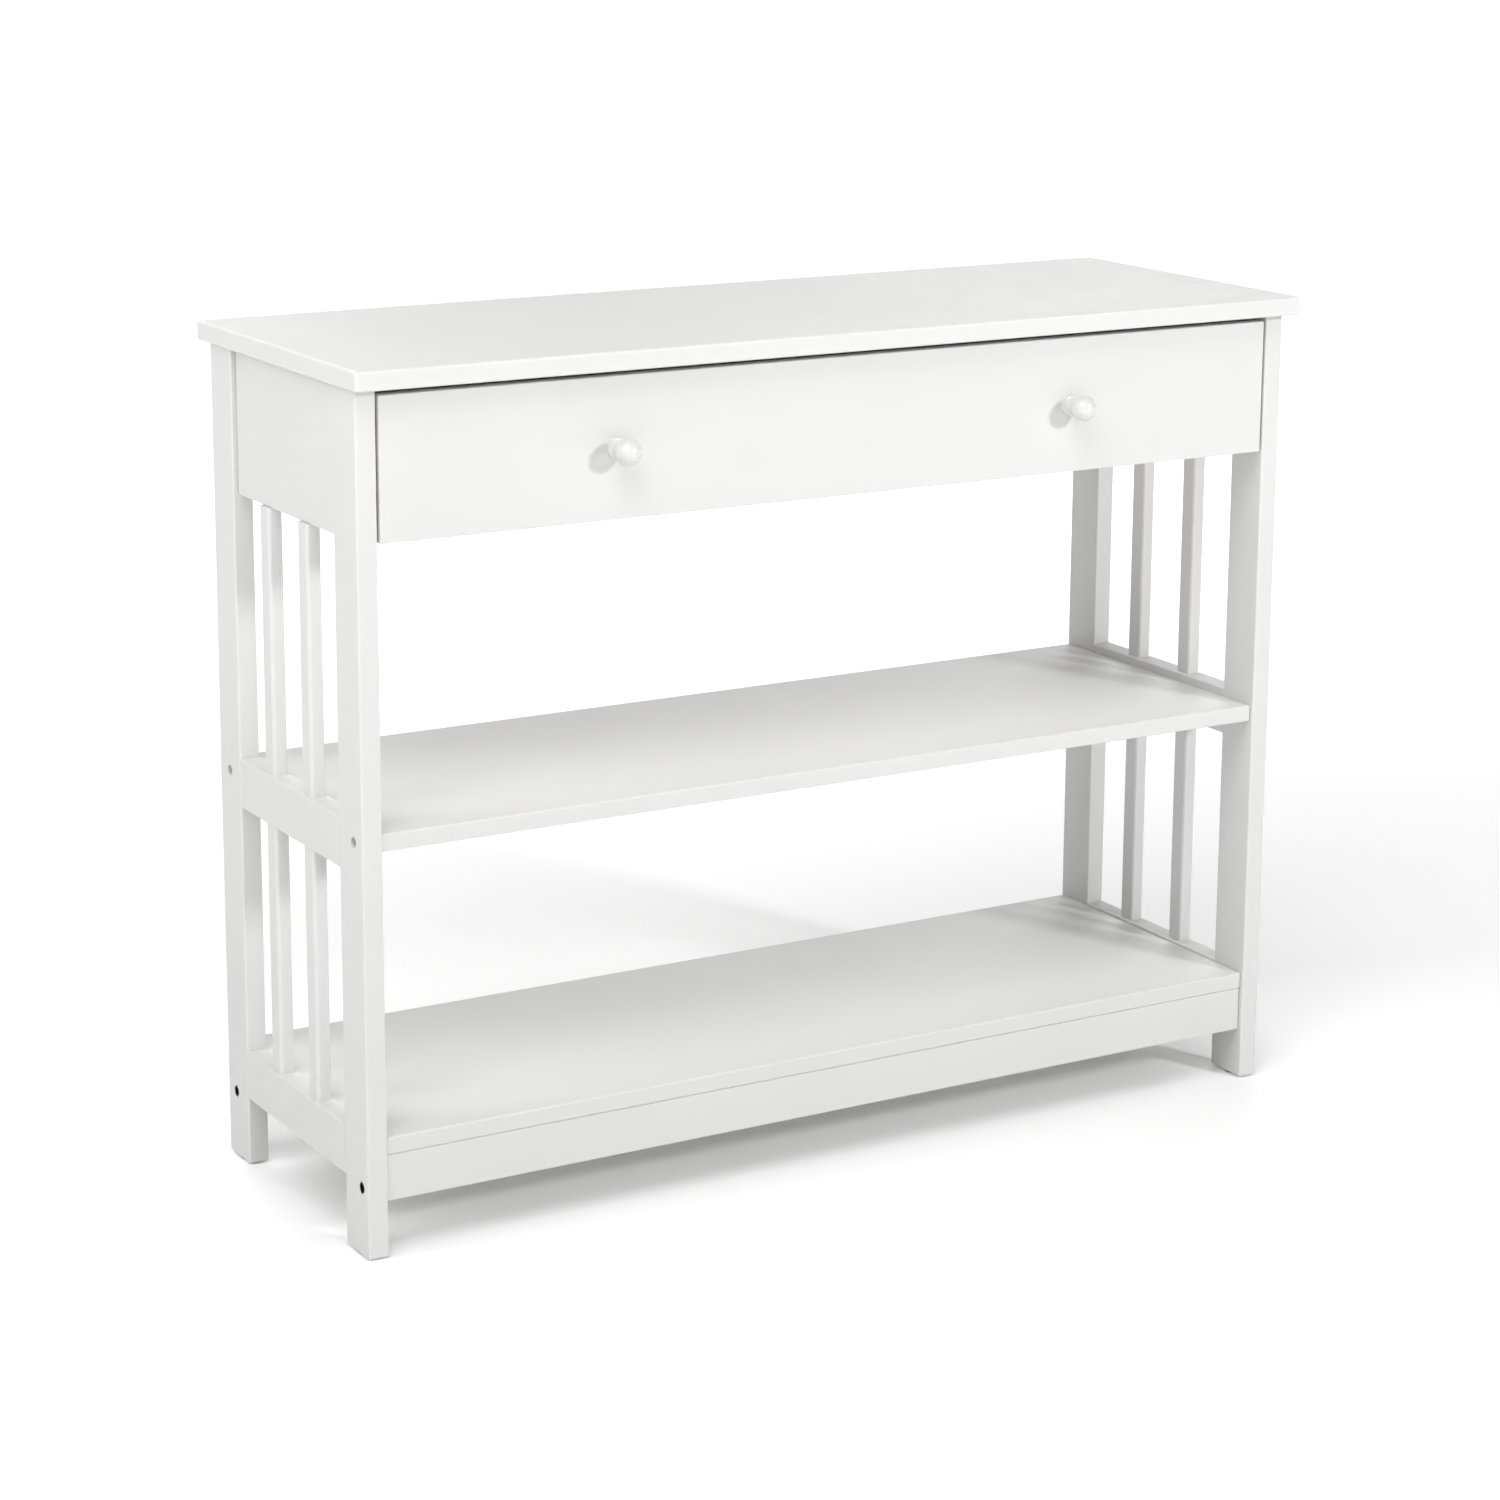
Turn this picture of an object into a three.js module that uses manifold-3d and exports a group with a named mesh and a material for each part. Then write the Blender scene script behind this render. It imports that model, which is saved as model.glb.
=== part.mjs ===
// Console table with one drawer, two shelves and slatted end frames. Millimetres, +Z up.
// +X runs along the table and -Y is the drawer side. The origin is on the floor, under the
// middle of the whole table's box, with the knobs counted in.
import * as THREE from 'three';
import { mergeVertices } from 'three/addons/utils/BufferGeometryUtils.js';
import Module from 'manifold-3d';

const wasm = await Module();
wasm.setup();

// ---- Driving dimensions ------------------------------------------------------------------

// Whole table
const TOP_WIDTH = 1000;
const TOP_DEPTH = 350;
const TOP_THICK = 18;
const TOP_HEIGHT = 800;
const TOP_FRONT_OVERHANG = 18;
const FRAME_WIDTH = 987;
const FRAME_DEPTH = 317;
const GAP = 0.3; // left between pieces that touch
const TOP_REVEAL = 0.8; // shadow line between the tabletop and what carries it

// End frames
const LEG_THICK = 19.5;
const LEG_DEPTH = 47;
const PANEL_BOTTOM = 647;
const PANEL_JOINT = 0.8; // open joint between a side panel and its rear leg
const PANEL_RECESS = 5; // side panel set in from the outer faces of its legs
const RAIL_HEIGHT = 47;
const MIDDLE_RAIL_BOTTOM = 352;
const BOTTOM_RAIL_BOTTOM = 67;
const SLAT_WIDTH = 20.5;
const SLAT_THICK = 14;
const SLAT_SPACE = 63.6;
const SLAT_INSET = 2;
const GLIDE_RADIUS = 8;
const GLIDE_THICK = 2;

// Shelves, aprons and rear panel
const SHELF_THICK = 16;
const SHELF_FRONT_RECESS = 4;
const SHELF_BACK_RECESS = 2;
const MIDDLE_SHELF_BOTTOM = 374;
const BOTTOM_SHELF_BOTTOM = 95.5;
const APRON_THICK = 15;
const APRON_BOTTOM = 51.5;
const FRONT_APRON_RECESS = 5;
const REAR_APRON_RECESS = 11.5;
const REAR_PANEL_THICK = 15;
const REAR_PANEL_RECESS = 2;

// Assembly bolts
const BOLT_HEAD_RADIUS = 4.6;
const BOLT_HEAD_LENGTH = 5;
const BOLT_HEAD_SINK = 2.5;
const BOLT_RADIUS = 3;
const BOLT_LENGTH = 48;
const BOLT_SOCKET_RADIUS = 2.3;
const BOLT_SOCKET_DEPTH = 2.6;
const BOLT_BORE_SPARE = 2; // left free past a bolt's tip
const COUNTERBORE_RADIUS = 5;
const BOLT_HOLE_RADIUS = 3.4;
const SHELF_BOLT_FROM_FRONT = 18;
const SHELF_BOLT_FROM_BACK = 22;
const APRON_BOLT_HEIGHT = 66;

// Drawer
const FRONT_THICK = 16;
const FRONT_TOP = 775.5;
const FRONT_SIDE_GAP = 2.5;
const BOX_SIDE_THICK = 12;
const BOX_DEPTH = 268;
const BOX_BOTTOM = 662;
const BOX_TOP = 755;
const SLIDE_SPACE = 12.7; // between a drawer side and its side panel
const FLOOR_THICK = 3;
const FLOOR_RISE = 10; // from a drawer side's lower edge to the floor's groove
const GROOVE_DEPTH = 6;

// Knobs
const KNOB_SPREAD = 243; // from the middle of the drawer to each knob
const KNOB_HEIGHT = 711;
const KNOB_REACH = 34; // from the drawer front to the knob's tip
const BALL_RADIUS = 12.3;
const NECK_RADIUS = 6;
const FLANGE_RADIUS = 9.6;
const FLANGE_THICK = 2.6;
const FLANGE_RIM = 1.6; // the straight part of the flange's edge
const FLANGE_ROUNDING = 1;
const NECK_WAIST = 1; // how far the neck draws in between flange and ball
const KNOB_SCREW_RADIUS = 2;
const KNOB_SCREW_BITE = 12;
const KNOB_SCREW_HEAD_RADIUS = 4;
const KNOB_SCREW_HEAD_THICK = 2.4;

// Roller slides
const SLIDE_LENGTH = 250;
const SLIDE_SETBACK = 6; // from the back of the drawer front to the slide
const SLIDE_SHEET = 1.2;
const CHANNEL_INSIDE = 24;
const CHANNEL_LIP = 10.5;
const ROLLER_RADIUS = 9;
const ROLLER_WIDTH = 6;
const ROLLER_BORE_RADIUS = 2.8;
const ROLLER_PIN_RADIUS = 2.4;
const ROLLER_PIN_ROOT = 0.5; // the end of a pin that stands in the sheet it is riveted to
const ROLLER_FROM_END = 12;
const FLANGE_RISE = 20.5; // from the channel's track to the drawer rail's running flange
const RUNNING_FLANGE = 7.5;
const SUPPORT_FLANGE = 10;

// Angle brackets under the tabletop
const BRACKET_LEG = 24;
const BRACKET_WIDTH = 16;
const BRACKET_SHEET = 2;
const BRACKET_FROM_FRONT = [85, 235];

// Rounding and facets
const TOP_EASE = 2.5;
const BOARD_EASE = 1.6;
const SLAT_EASE = 3;
const EASE_SEGMENTS = 3;
const ROUND_SIDES = 24;
const FINE_ROUND_SIDES = 28;
const HEX_SIDES = 6;
const KNOB_NECK_STEPS = 5;
const KNOB_BALL_STEPS = 9;
const OVERCUT = 1; // how far a cutting tool runs past the face that it opens

// ---- Worked-out places -------------------------------------------------------------------

const FRAME_FRONT = (KNOB_REACH + TOP_FRONT_OVERHANG - TOP_DEPTH) / 2;
const FRAME_BACK = FRAME_FRONT + FRAME_DEPTH;
const TOP_FRONT = FRAME_FRONT - TOP_FRONT_OVERHANG;
const TOP_UNDERSIDE = TOP_HEIGHT - TOP_THICK;
const FRAME_TOP = TOP_UNDERSIDE - TOP_REVEAL;
const HALF_FRAME = FRAME_WIDTH / 2;
const HALF_INSIDE = HALF_FRAME - LEG_THICK;
const LEG_BOTTOM = GLIDE_THICK + GAP;
const BOX_FRONT = FRAME_FRONT + FRONT_THICK + GAP;
const BOX_BACK = BOX_FRONT + BOX_DEPTH;
const HALF_BOX = HALF_INSIDE - SLIDE_SPACE;
const FLOOR_BOTTOM = BOX_BOTTOM + FLOOR_RISE + GAP;
const SLIDE_FRONT = BOX_FRONT + SLIDE_SETBACK;
const SLIDE_BACK = SLIDE_FRONT + SLIDE_LENGTH;
const TRACK_HEIGHT = BOX_BOTTOM;
const APRON_TOP = BOTTOM_SHELF_BOTTOM - GAP;
const FRONT_APRON_BOLT = FRAME_FRONT + FRONT_APRON_RECESS + APRON_THICK / 2;
const REAR_APRON_BOLT = FRAME_BACK - REAR_APRON_RECESS - APRON_THICK / 2;
const SHELF_BOLT_HEIGHT = MIDDLE_SHELF_BOTTOM + SHELF_THICK / 2;

// ---- Materials ---------------------------------------------------------------------------

const paint = () => new THREE.MeshStandardMaterial({ color: 0xf0f0ee, roughness: 0.42 });
const knobPaint = () => new THREE.MeshStandardMaterial({ color: 0xf3f3f1, roughness: 0.3 });
const foil = () => new THREE.MeshStandardMaterial({ color: 0xeceae4, roughness: 0.55 });
const coatedSteel = () =>
  new THREE.MeshStandardMaterial({ color: 0xdedcd6, roughness: 0.4, metalness: 0.2 });
const zinc = () =>
  new THREE.MeshStandardMaterial({ color: 0x9a9c9f, roughness: 0.35, metalness: 0.9 });
const nylon = () => new THREE.MeshStandardMaterial({ color: 0xe9e7df, roughness: 0.5 });
const darkPlastic = () => new THREE.MeshStandardMaterial({ color: 0x4a4a4a, roughness: 0.6 });

// ---- Shape helpers -----------------------------------------------------------------------

const X = 0;
const Y = 1;
const Z = 2;
const group = new THREE.Group();

function add(name, geometry, material) {
  const mesh = new THREE.Mesh(geometry, material);
  mesh.name = name;
  group.add(mesh);
}

// Turns a shape made along +Z so that it runs along another axis.
function turnTo(geometry, axis) {
  if (axis === X) geometry.rotateY(Math.PI / 2);
  if (axis === Y) geometry.rotateX(Math.PI / 2);
  return geometry;
}

function roundedRectangle(width, height, radius) {
  const w = width / 2;
  const h = height / 2;
  const shape = new THREE.Shape();
  shape.absarc(w - radius, h - radius, radius, 0, Math.PI / 2);
  shape.absarc(radius - w, h - radius, radius, Math.PI / 2, Math.PI);
  shape.absarc(radius - w, radius - h, radius, Math.PI, Math.PI * 1.5);
  shape.absarc(w - radius, radius - h, radius, Math.PI * 1.5, Math.PI * 2);
  shape.closePath();
  return shape;
}

// A board between two corners, running along one axis, with its four long edges eased.
function board(low, high, along, ease = BOARD_EASE) {
  const size = high.map((value, axis) => value - low[axis]);
  const section = {
    [X]: [size[Z], size[Y]],
    [Y]: [size[X], size[Z]],
    [Z]: [size[X], size[Y]],
  }[along];
  const geometry = new THREE.ExtrudeGeometry(roundedRectangle(...section, ease), {
    depth: size[along],
    bevelEnabled: false,
    curveSegments: EASE_SEGMENTS,
  });
  geometry.translate(0, 0, -size[along] / 2);
  turnTo(geometry, along);
  return geometry.translate(...low.map((value, axis) => (value + high[axis]) / 2));
}

// A square-edged block between two corners.
function block(low, high) {
  const size = high.map((value, axis) => value - low[axis]);
  const centre = low.map((value, axis) => (value + high[axis]) / 2);
  return new THREE.BoxGeometry(...size).translate(...centre);
}

// A round bar along X between two places.
function barAlongX(radius, fromX, toX, y, z, sides = ROUND_SIDES) {
  const geometry = new THREE.CylinderGeometry(radius, radius, Math.abs(toX - fromX), sides);
  geometry.rotateZ(Math.PI / 2);
  return geometry.translate((fromX + toX) / 2, y, z);
}

// A round bar along Y between two places.
function barAlongY(radius, fromY, toY, x, z, sides = ROUND_SIDES) {
  const geometry = new THREE.CylinderGeometry(radius, radius, Math.abs(toY - fromY), sides);
  return geometry.translate(x, (fromY + toY) / 2, z);
}

function solidOf(geometry) {
  const bare = geometry.clone();
  bare.deleteAttribute('normal');
  bare.deleteAttribute('uv');
  const merged = mergeVertices(bare);
  return new wasm.Manifold(
    new wasm.Mesh({
      numProp: 3,
      vertProperties: new Float32Array(merged.getAttribute('position').array),
      triVerts: new Uint32Array(merged.getIndex().array),
    }),
  );
}

function geometryOf(solid) {
  const mesh = solid.getMesh();
  const indexed = new THREE.BufferGeometry();
  indexed.setAttribute('position', new THREE.BufferAttribute(mesh.vertProperties, 3));
  indexed.setIndex(new THREE.BufferAttribute(mesh.triVerts, 1));
  const geometry = indexed.toNonIndexed();
  geometry.computeVertexNormals();
  return geometry;
}

// One geometry with others cut out of it.
function cut(geometry, tools) {
  return geometryOf(tools.reduce((rest, tool) => rest.subtract(solidOf(tool)), solidOf(geometry)));
}

// Several geometries joined into one body.
function join(geometries) {
  const [first, ...others] = geometries.map(solidOf);
  return geometryOf(others.reduce((whole, next) => whole.add(next), first));
}

// An outline in X and Z, drawn for the +X end, extruded along Y and mirrored to either end.
function profileAlongY(points, fromY, toY, side) {
  const outline = points.map(([x, z]) => new THREE.Vector2(side * x, z));
  const shape = new THREE.Shape(side > 0 ? outline : outline.reverse());
  const geometry = new THREE.ExtrudeGeometry(shape, { depth: toY - fromY, bevelEnabled: false });
  geometry.rotateX(Math.PI / 2);
  return geometry.translate(0, toY, 0);
}

// ---- Tabletop ----------------------------------------------------------------------------

function tabletop() {
  const plan = roundedRectangle(TOP_WIDTH - 2 * TOP_EASE, TOP_DEPTH - 2 * TOP_EASE, TOP_EASE);
  const geometry = new THREE.ExtrudeGeometry(plan, {
    depth: TOP_THICK - 2 * TOP_EASE,
    bevelSize: TOP_EASE,
    bevelThickness: TOP_EASE,
    bevelSegments: EASE_SEGMENTS,
    curveSegments: EASE_SEGMENTS,
  });
  return geometry.translate(0, TOP_FRONT + TOP_DEPTH / 2, TOP_UNDERSIDE + TOP_EASE);
}

add('tabletop', tabletop(), paint());

// ---- End frames --------------------------------------------------------------------------

const ends = [
  { side: -1, label: 'left' },
  { side: 1, label: 'right' },
];

// Where the assembly bolts go through each leg: [y, z].
const boltPlaces = {
  front: {
    shelf: [FRAME_FRONT + SHELF_BOLT_FROM_FRONT, SHELF_BOLT_HEIGHT],
    apron: [FRONT_APRON_BOLT, APRON_BOLT_HEIGHT],
  },
  rear: {
    shelf: [FRAME_BACK - SHELF_BOLT_FROM_BACK, SHELF_BOLT_HEIGHT],
    apron: [REAR_APRON_BOLT, APRON_BOLT_HEIGHT],
  },
};

// The two X values between which something lies on one end, lowest first.
function across(side, inner, outer) {
  return side > 0 ? [inner, outer] : [-outer, -inner];
}

function leg(side, place) {
  const [lowX, highX] = across(side, HALF_INSIDE, HALF_FRAME);
  const lowY = place === 'front' ? FRAME_FRONT : FRAME_BACK - LEG_DEPTH;
  const post = board([lowX, lowY, LEG_BOTTOM], [highX, lowY + LEG_DEPTH, FRAME_TOP], Z);
  const floorOfBore = HALF_FRAME - BOLT_HEAD_SINK - BOLT_HEAD_LENGTH - GAP;
  const holes = Object.values(boltPlaces[place]).flatMap(([y, z]) => [
    barAlongX(COUNTERBORE_RADIUS, side * floorOfBore, side * (HALF_FRAME + OVERCUT), y, z),
    barAlongX(BOLT_HOLE_RADIUS, side * (HALF_INSIDE - OVERCUT), side * (floorOfBore + OVERCUT), y, z),
  ]);
  return cut(post, holes);
}

function sidePanel(side) {
  const [lowX, highX] = across(side, HALF_INSIDE, HALF_FRAME - PANEL_RECESS);
  const low = [lowX, FRAME_FRONT + LEG_DEPTH + GAP, PANEL_BOTTOM];
  const high = [highX, FRAME_BACK - LEG_DEPTH - PANEL_JOINT, FRAME_TOP];
  return board(low, high, Z);
}

function endRail(side, bottom) {
  const [lowX, highX] = across(side, HALF_INSIDE, HALF_FRAME);
  const low = [lowX, FRAME_FRONT + LEG_DEPTH + GAP, bottom];
  return board(low, [highX, FRAME_BACK - LEG_DEPTH - GAP, bottom + RAIL_HEIGHT], Y);
}

function slat(side, row, bottom, top) {
  const outer = HALF_FRAME - SLAT_INSET;
  const [lowX, highX] = across(side, outer - SLAT_THICK, outer);
  const lowY = FRAME_FRONT + LEG_DEPTH + SLAT_SPACE + row * (SLAT_WIDTH + SLAT_SPACE);
  return board([lowX, lowY, bottom + GAP], [highX, lowY + SLAT_WIDTH, top - GAP], Z, SLAT_EASE);
}

// An assembly bolt: round head with a hex socket, and a shank that ends inside the board.
function assemblyBolt(side, [y, z]) {
  const face = HALF_FRAME - BOLT_HEAD_SINK;
  const shoulder = face - BOLT_HEAD_LENGTH;
  const head = barAlongX(BOLT_HEAD_RADIUS, side * shoulder, side * face, y, z);
  const tip = shoulder - BOLT_LENGTH;
  const shank = barAlongX(BOLT_RADIUS, side * tip, side * (shoulder + OVERCUT), y, z);
  const socketEnds = [side * (face - BOLT_SOCKET_DEPTH), side * (face + OVERCUT)];
  const socket = barAlongX(BOLT_SOCKET_RADIUS, ...socketEnds, y, z, HEX_SIDES);
  return cut(join([head, shank]), [socket]);
}

function footGlide(side, place) {
  const inset = LEG_DEPTH / 2;
  const y = place === 'front' ? FRAME_FRONT + inset : FRAME_BACK - inset;
  const disc = new THREE.CylinderGeometry(GLIDE_RADIUS, GLIDE_RADIUS, GLIDE_THICK, ROUND_SIDES);
  disc.rotateX(Math.PI / 2);
  return disc.translate(side * (HALF_FRAME - LEG_THICK / 2), y, GLIDE_THICK / 2);
}

for (const { side, label } of ends) {
  for (const place of ['front', 'rear']) {
    add(`leg_${place}_${label}`, leg(side, place), paint());
    add(`foot_glide_${place}_${label}`, footGlide(side, place), darkPlastic());
    for (const [level, spot] of Object.entries(boltPlaces[place])) {
      add(`bolt_${level}_${place}_${label}`, assemblyBolt(side, spot), zinc());
    }
  }
  add(`side_panel_${label}`, sidePanel(side), paint());
  add(`middle_rail_${label}`, endRail(side, MIDDLE_RAIL_BOTTOM), paint());
  add(`bottom_rail_${label}`, endRail(side, BOTTOM_RAIL_BOTTOM), paint());
  ['front', 'rear'].forEach((place, row) => {
    const middleRailTop = MIDDLE_RAIL_BOTTOM + RAIL_HEIGHT;
    const bottomRailTop = BOTTOM_RAIL_BOTTOM + RAIL_HEIGHT;
    add(`slat_upper_${place}_${label}`, slat(side, row, middleRailTop, PANEL_BOTTOM), paint());
    add(`slat_lower_${place}_${label}`, slat(side, row, bottomRailTop, MIDDLE_RAIL_BOTTOM), paint());
  });
}

// ---- Shelves, aprons and rear panel ------------------------------------------------------

// Blind bores in both ends of a board for the bolts at the given places.
function endBores(places) {
  const boltTip = HALF_FRAME - BOLT_HEAD_SINK - BOLT_HEAD_LENGTH - BOLT_LENGTH;
  const boreEnd = boltTip - BOLT_BORE_SPARE;
  return ends.flatMap(({ side }) =>
    places.map(([y, z]) =>
      barAlongX(BOLT_HOLE_RADIUS, side * boreEnd, side * (HALF_INSIDE + OVERCUT), y, z),
    ),
  );
}

function crossBoard(frontY, backY, bottom, top, bolts) {
  const halfLength = HALF_INSIDE - GAP;
  const plain = board([-halfLength, frontY, bottom], [halfLength, backY, top], X);
  return bolts.length > 0 ? cut(plain, endBores(bolts)) : plain;
}

const shelfFront = FRAME_FRONT + SHELF_FRONT_RECESS;
const shelfBack = FRAME_BACK - SHELF_BACK_RECESS;
const apronFront = FRAME_FRONT + FRONT_APRON_RECESS;
const apronBack = FRAME_BACK - REAR_APRON_RECESS;
const panelBack = FRAME_BACK - REAR_PANEL_RECESS;
const middleShelfTop = MIDDLE_SHELF_BOTTOM + SHELF_THICK;
const shelfBolts = [boltPlaces.front.shelf, boltPlaces.rear.shelf];

add(
  'middle_shelf',
  crossBoard(shelfFront, shelfBack, MIDDLE_SHELF_BOTTOM, middleShelfTop, shelfBolts),
  paint(),
);
add(
  'bottom_shelf',
  crossBoard(shelfFront, shelfBack, BOTTOM_SHELF_BOTTOM, BOTTOM_SHELF_BOTTOM + SHELF_THICK, []),
  paint(),
);
add(
  'front_apron',
  crossBoard(apronFront, apronFront + APRON_THICK, APRON_BOTTOM, APRON_TOP, [
    boltPlaces.front.apron,
  ]),
  paint(),
);
add(
  'rear_apron',
  crossBoard(apronBack - APRON_THICK, apronBack, APRON_BOTTOM, APRON_TOP, [boltPlaces.rear.apron]),
  paint(),
);
add(
  'rear_panel',
  crossBoard(panelBack - REAR_PANEL_THICK, panelBack, PANEL_BOTTOM, FRAME_TOP, []),
  paint(),
);

// ---- Angle brackets under the tabletop ---------------------------------------------------

function angleBracket(side, fromFront) {
  const wall = HALF_INSIDE - GAP;
  const top = TOP_UNDERSIDE - GAP;
  const outline = [
    [wall, top],
    [wall - BRACKET_LEG, top],
    [wall - BRACKET_LEG, top - BRACKET_SHEET],
    [wall - BRACKET_SHEET, top - BRACKET_SHEET],
    [wall - BRACKET_SHEET, top - BRACKET_LEG],
    [wall, top - BRACKET_LEG],
  ];
  const middle = FRAME_FRONT + fromFront;
  return profileAlongY(outline, middle - BRACKET_WIDTH / 2, middle + BRACKET_WIDTH / 2, side);
}

for (const { side, label } of ends) {
  ['front', 'rear'].forEach((place, index) => {
    const bracket = angleBracket(side, BRACKET_FROM_FRONT[index]);
    add(`top_bracket_${place}_${label}`, bracket, zinc());
  });
}

// ---- Drawer box --------------------------------------------------------------------------

function drawerFront() {
  const halfWidth = HALF_INSIDE - FRONT_SIDE_GAP;
  const back = FRAME_FRONT + FRONT_THICK;
  const panel = board([-halfWidth, FRAME_FRONT, PANEL_BOTTOM], [halfWidth, back, FRONT_TOP], X);
  const groove = block(
    [-HALF_BOX, back - GROOVE_DEPTH, BOX_BOTTOM + FLOOR_RISE],
    [HALF_BOX, back + OVERCUT, FLOOR_BOTTOM + FLOOR_THICK + GAP],
  );
  const holeRadius = KNOB_SCREW_RADIUS + GAP;
  const holes = ends.map(({ side }) =>
    barAlongY(holeRadius, FRAME_FRONT - OVERCUT, back + OVERCUT, side * KNOB_SPREAD, KNOB_HEIGHT),
  );
  return cut(panel, [groove, ...holes]);
}

// A drawer side with the floor's groove along its inner face.
function drawerSide(side) {
  const inner = HALF_BOX - BOX_SIDE_THICK;
  const grooveLow = BOX_BOTTOM + FLOOR_RISE;
  const grooveHigh = FLOOR_BOTTOM + FLOOR_THICK + GAP;
  const outline = [
    [inner, BOX_BOTTOM],
    [HALF_BOX, BOX_BOTTOM],
    [HALF_BOX, BOX_TOP],
    [inner, BOX_TOP],
    [inner, grooveHigh],
    [inner + GROOVE_DEPTH, grooveHigh],
    [inner + GROOVE_DEPTH, grooveLow],
    [inner, grooveLow],
  ];
  return profileAlongY(outline, BOX_FRONT, BOX_BACK, side);
}

function drawerBack() {
  const halfWidth = HALF_BOX - BOX_SIDE_THICK - GAP;
  const bottom = FLOOR_BOTTOM + FLOOR_THICK + GAP;
  return block([-halfWidth, BOX_BACK - BOX_SIDE_THICK, bottom], [halfWidth, BOX_BACK, BOX_TOP]);
}

function drawerFloor() {
  const halfWidth = HALF_BOX - BOX_SIDE_THICK + GROOVE_DEPTH - GAP;
  const front = FRAME_FRONT + FRONT_THICK - GROOVE_DEPTH + GAP;
  return block([-halfWidth, front, FLOOR_BOTTOM], [halfWidth, BOX_BACK, FLOOR_BOTTOM + FLOOR_THICK]);
}

add('drawer_front', drawerFront(), paint());
add('drawer_side_left', drawerSide(-1), foil());
add('drawer_side_right', drawerSide(1), foil());
add('drawer_back', drawerBack(), foil());
add('drawer_floor', drawerFloor(), foil());

// ---- Knobs -------------------------------------------------------------------------------

// A turned knob: flange, hollow-sided neck and ball, bored from the back for its screw.
function knob(x) {
  const ballMiddle = KNOB_REACH - BALL_RADIUS;
  const boreRadius = KNOB_SCREW_RADIUS + GAP;
  const outline = [
    new THREE.Vector2(0, KNOB_SCREW_BITE + 2 * GAP),
    new THREE.Vector2(boreRadius, KNOB_SCREW_BITE + 2 * GAP),
    new THREE.Vector2(boreRadius, GAP),
    new THREE.Vector2(FLANGE_RADIUS, GAP),
    new THREE.Vector2(FLANGE_RADIUS, FLANGE_RIM),
    new THREE.Vector2(FLANGE_RADIUS - FLANGE_ROUNDING, FLANGE_THICK),
  ];
  const neckAngle = Math.acos(NECK_RADIUS / BALL_RADIUS);
  const neckEnd = ballMiddle - BALL_RADIUS * Math.sin(neckAngle);
  const neck = new THREE.CubicBezierCurve(
    outline[outline.length - 1],
    new THREE.Vector2(NECK_RADIUS, FLANGE_THICK),
    new THREE.Vector2(NECK_RADIUS - NECK_WAIST, (FLANGE_THICK + neckEnd) / 2),
    new THREE.Vector2(NECK_RADIUS, neckEnd),
  );
  outline.push(...neck.getPoints(KNOB_NECK_STEPS).slice(1));
  for (let step = 1; step < KNOB_BALL_STEPS; step += 1) {
    const angle = -neckAngle + ((Math.PI / 2 + neckAngle) * step) / KNOB_BALL_STEPS;
    const radius = BALL_RADIUS * Math.cos(angle);
    outline.push(new THREE.Vector2(radius, ballMiddle + BALL_RADIUS * Math.sin(angle)));
  }
  outline.push(new THREE.Vector2(0, KNOB_REACH));
  const geometry = new THREE.LatheGeometry(outline, FINE_ROUND_SIDES);
  geometry.rotateX(Math.PI);
  return geometry.translate(x, FRAME_FRONT, KNOB_HEIGHT);
}

function knobScrew(x) {
  const back = FRAME_FRONT + FRONT_THICK + GAP;
  const tip = FRAME_FRONT - KNOB_SCREW_BITE;
  const head = barAlongY(KNOB_SCREW_HEAD_RADIUS, back, back + KNOB_SCREW_HEAD_THICK, x, KNOB_HEIGHT);
  return join([head, barAlongY(KNOB_SCREW_RADIUS, tip, back + OVERCUT, x, KNOB_HEIGHT)]);
}

for (const { side, label } of ends) {
  add(`knob_${label}`, knob(side * KNOB_SPREAD), knobPaint());
  add(`knob_screw_${label}`, knobScrew(side * KNOB_SPREAD), zinc());
}

// ---- Roller slides -----------------------------------------------------------------------

const channelWall = HALF_INSIDE - GAP;
const railWall = HALF_BOX + GAP;
const frontRollerY = SLIDE_FRONT + ROLLER_FROM_END;
const rearRollerY = SLIDE_BACK - ROLLER_FROM_END;
const frontRollerZ = TRACK_HEIGHT + FLANGE_RISE - GAP - ROLLER_RADIUS;
const rearRollerZ = TRACK_HEIGHT + GAP + ROLLER_RADIUS;
const rollerMiddle = (channelWall + railWall) / 2;

// The channel on a side panel, open towards the drawer, with its roller's pin at the front.
function slideChannel(side) {
  const lip = channelWall - CHANNEL_LIP;
  const web = channelWall - SLIDE_SHEET;
  const trackTop = TRACK_HEIGHT + CHANNEL_INSIDE;
  const outline = [
    [channelWall, TRACK_HEIGHT - SLIDE_SHEET],
    [channelWall, trackTop + SLIDE_SHEET],
    [lip, trackTop + SLIDE_SHEET],
    [lip, trackTop],
    [web, trackTop],
    [web, TRACK_HEIGHT],
    [lip, TRACK_HEIGHT],
    [lip, TRACK_HEIGHT - SLIDE_SHEET],
  ];
  const tip = rollerMiddle - ROLLER_WIDTH / 2 - SLIDE_SHEET / 2;
  const root = web + ROLLER_PIN_ROOT;
  const pin = barAlongX(ROLLER_PIN_RADIUS, side * tip, side * root, frontRollerY, frontRollerZ);
  return join([profileAlongY(outline, SLIDE_FRONT, SLIDE_BACK, side), pin]);
}

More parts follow.
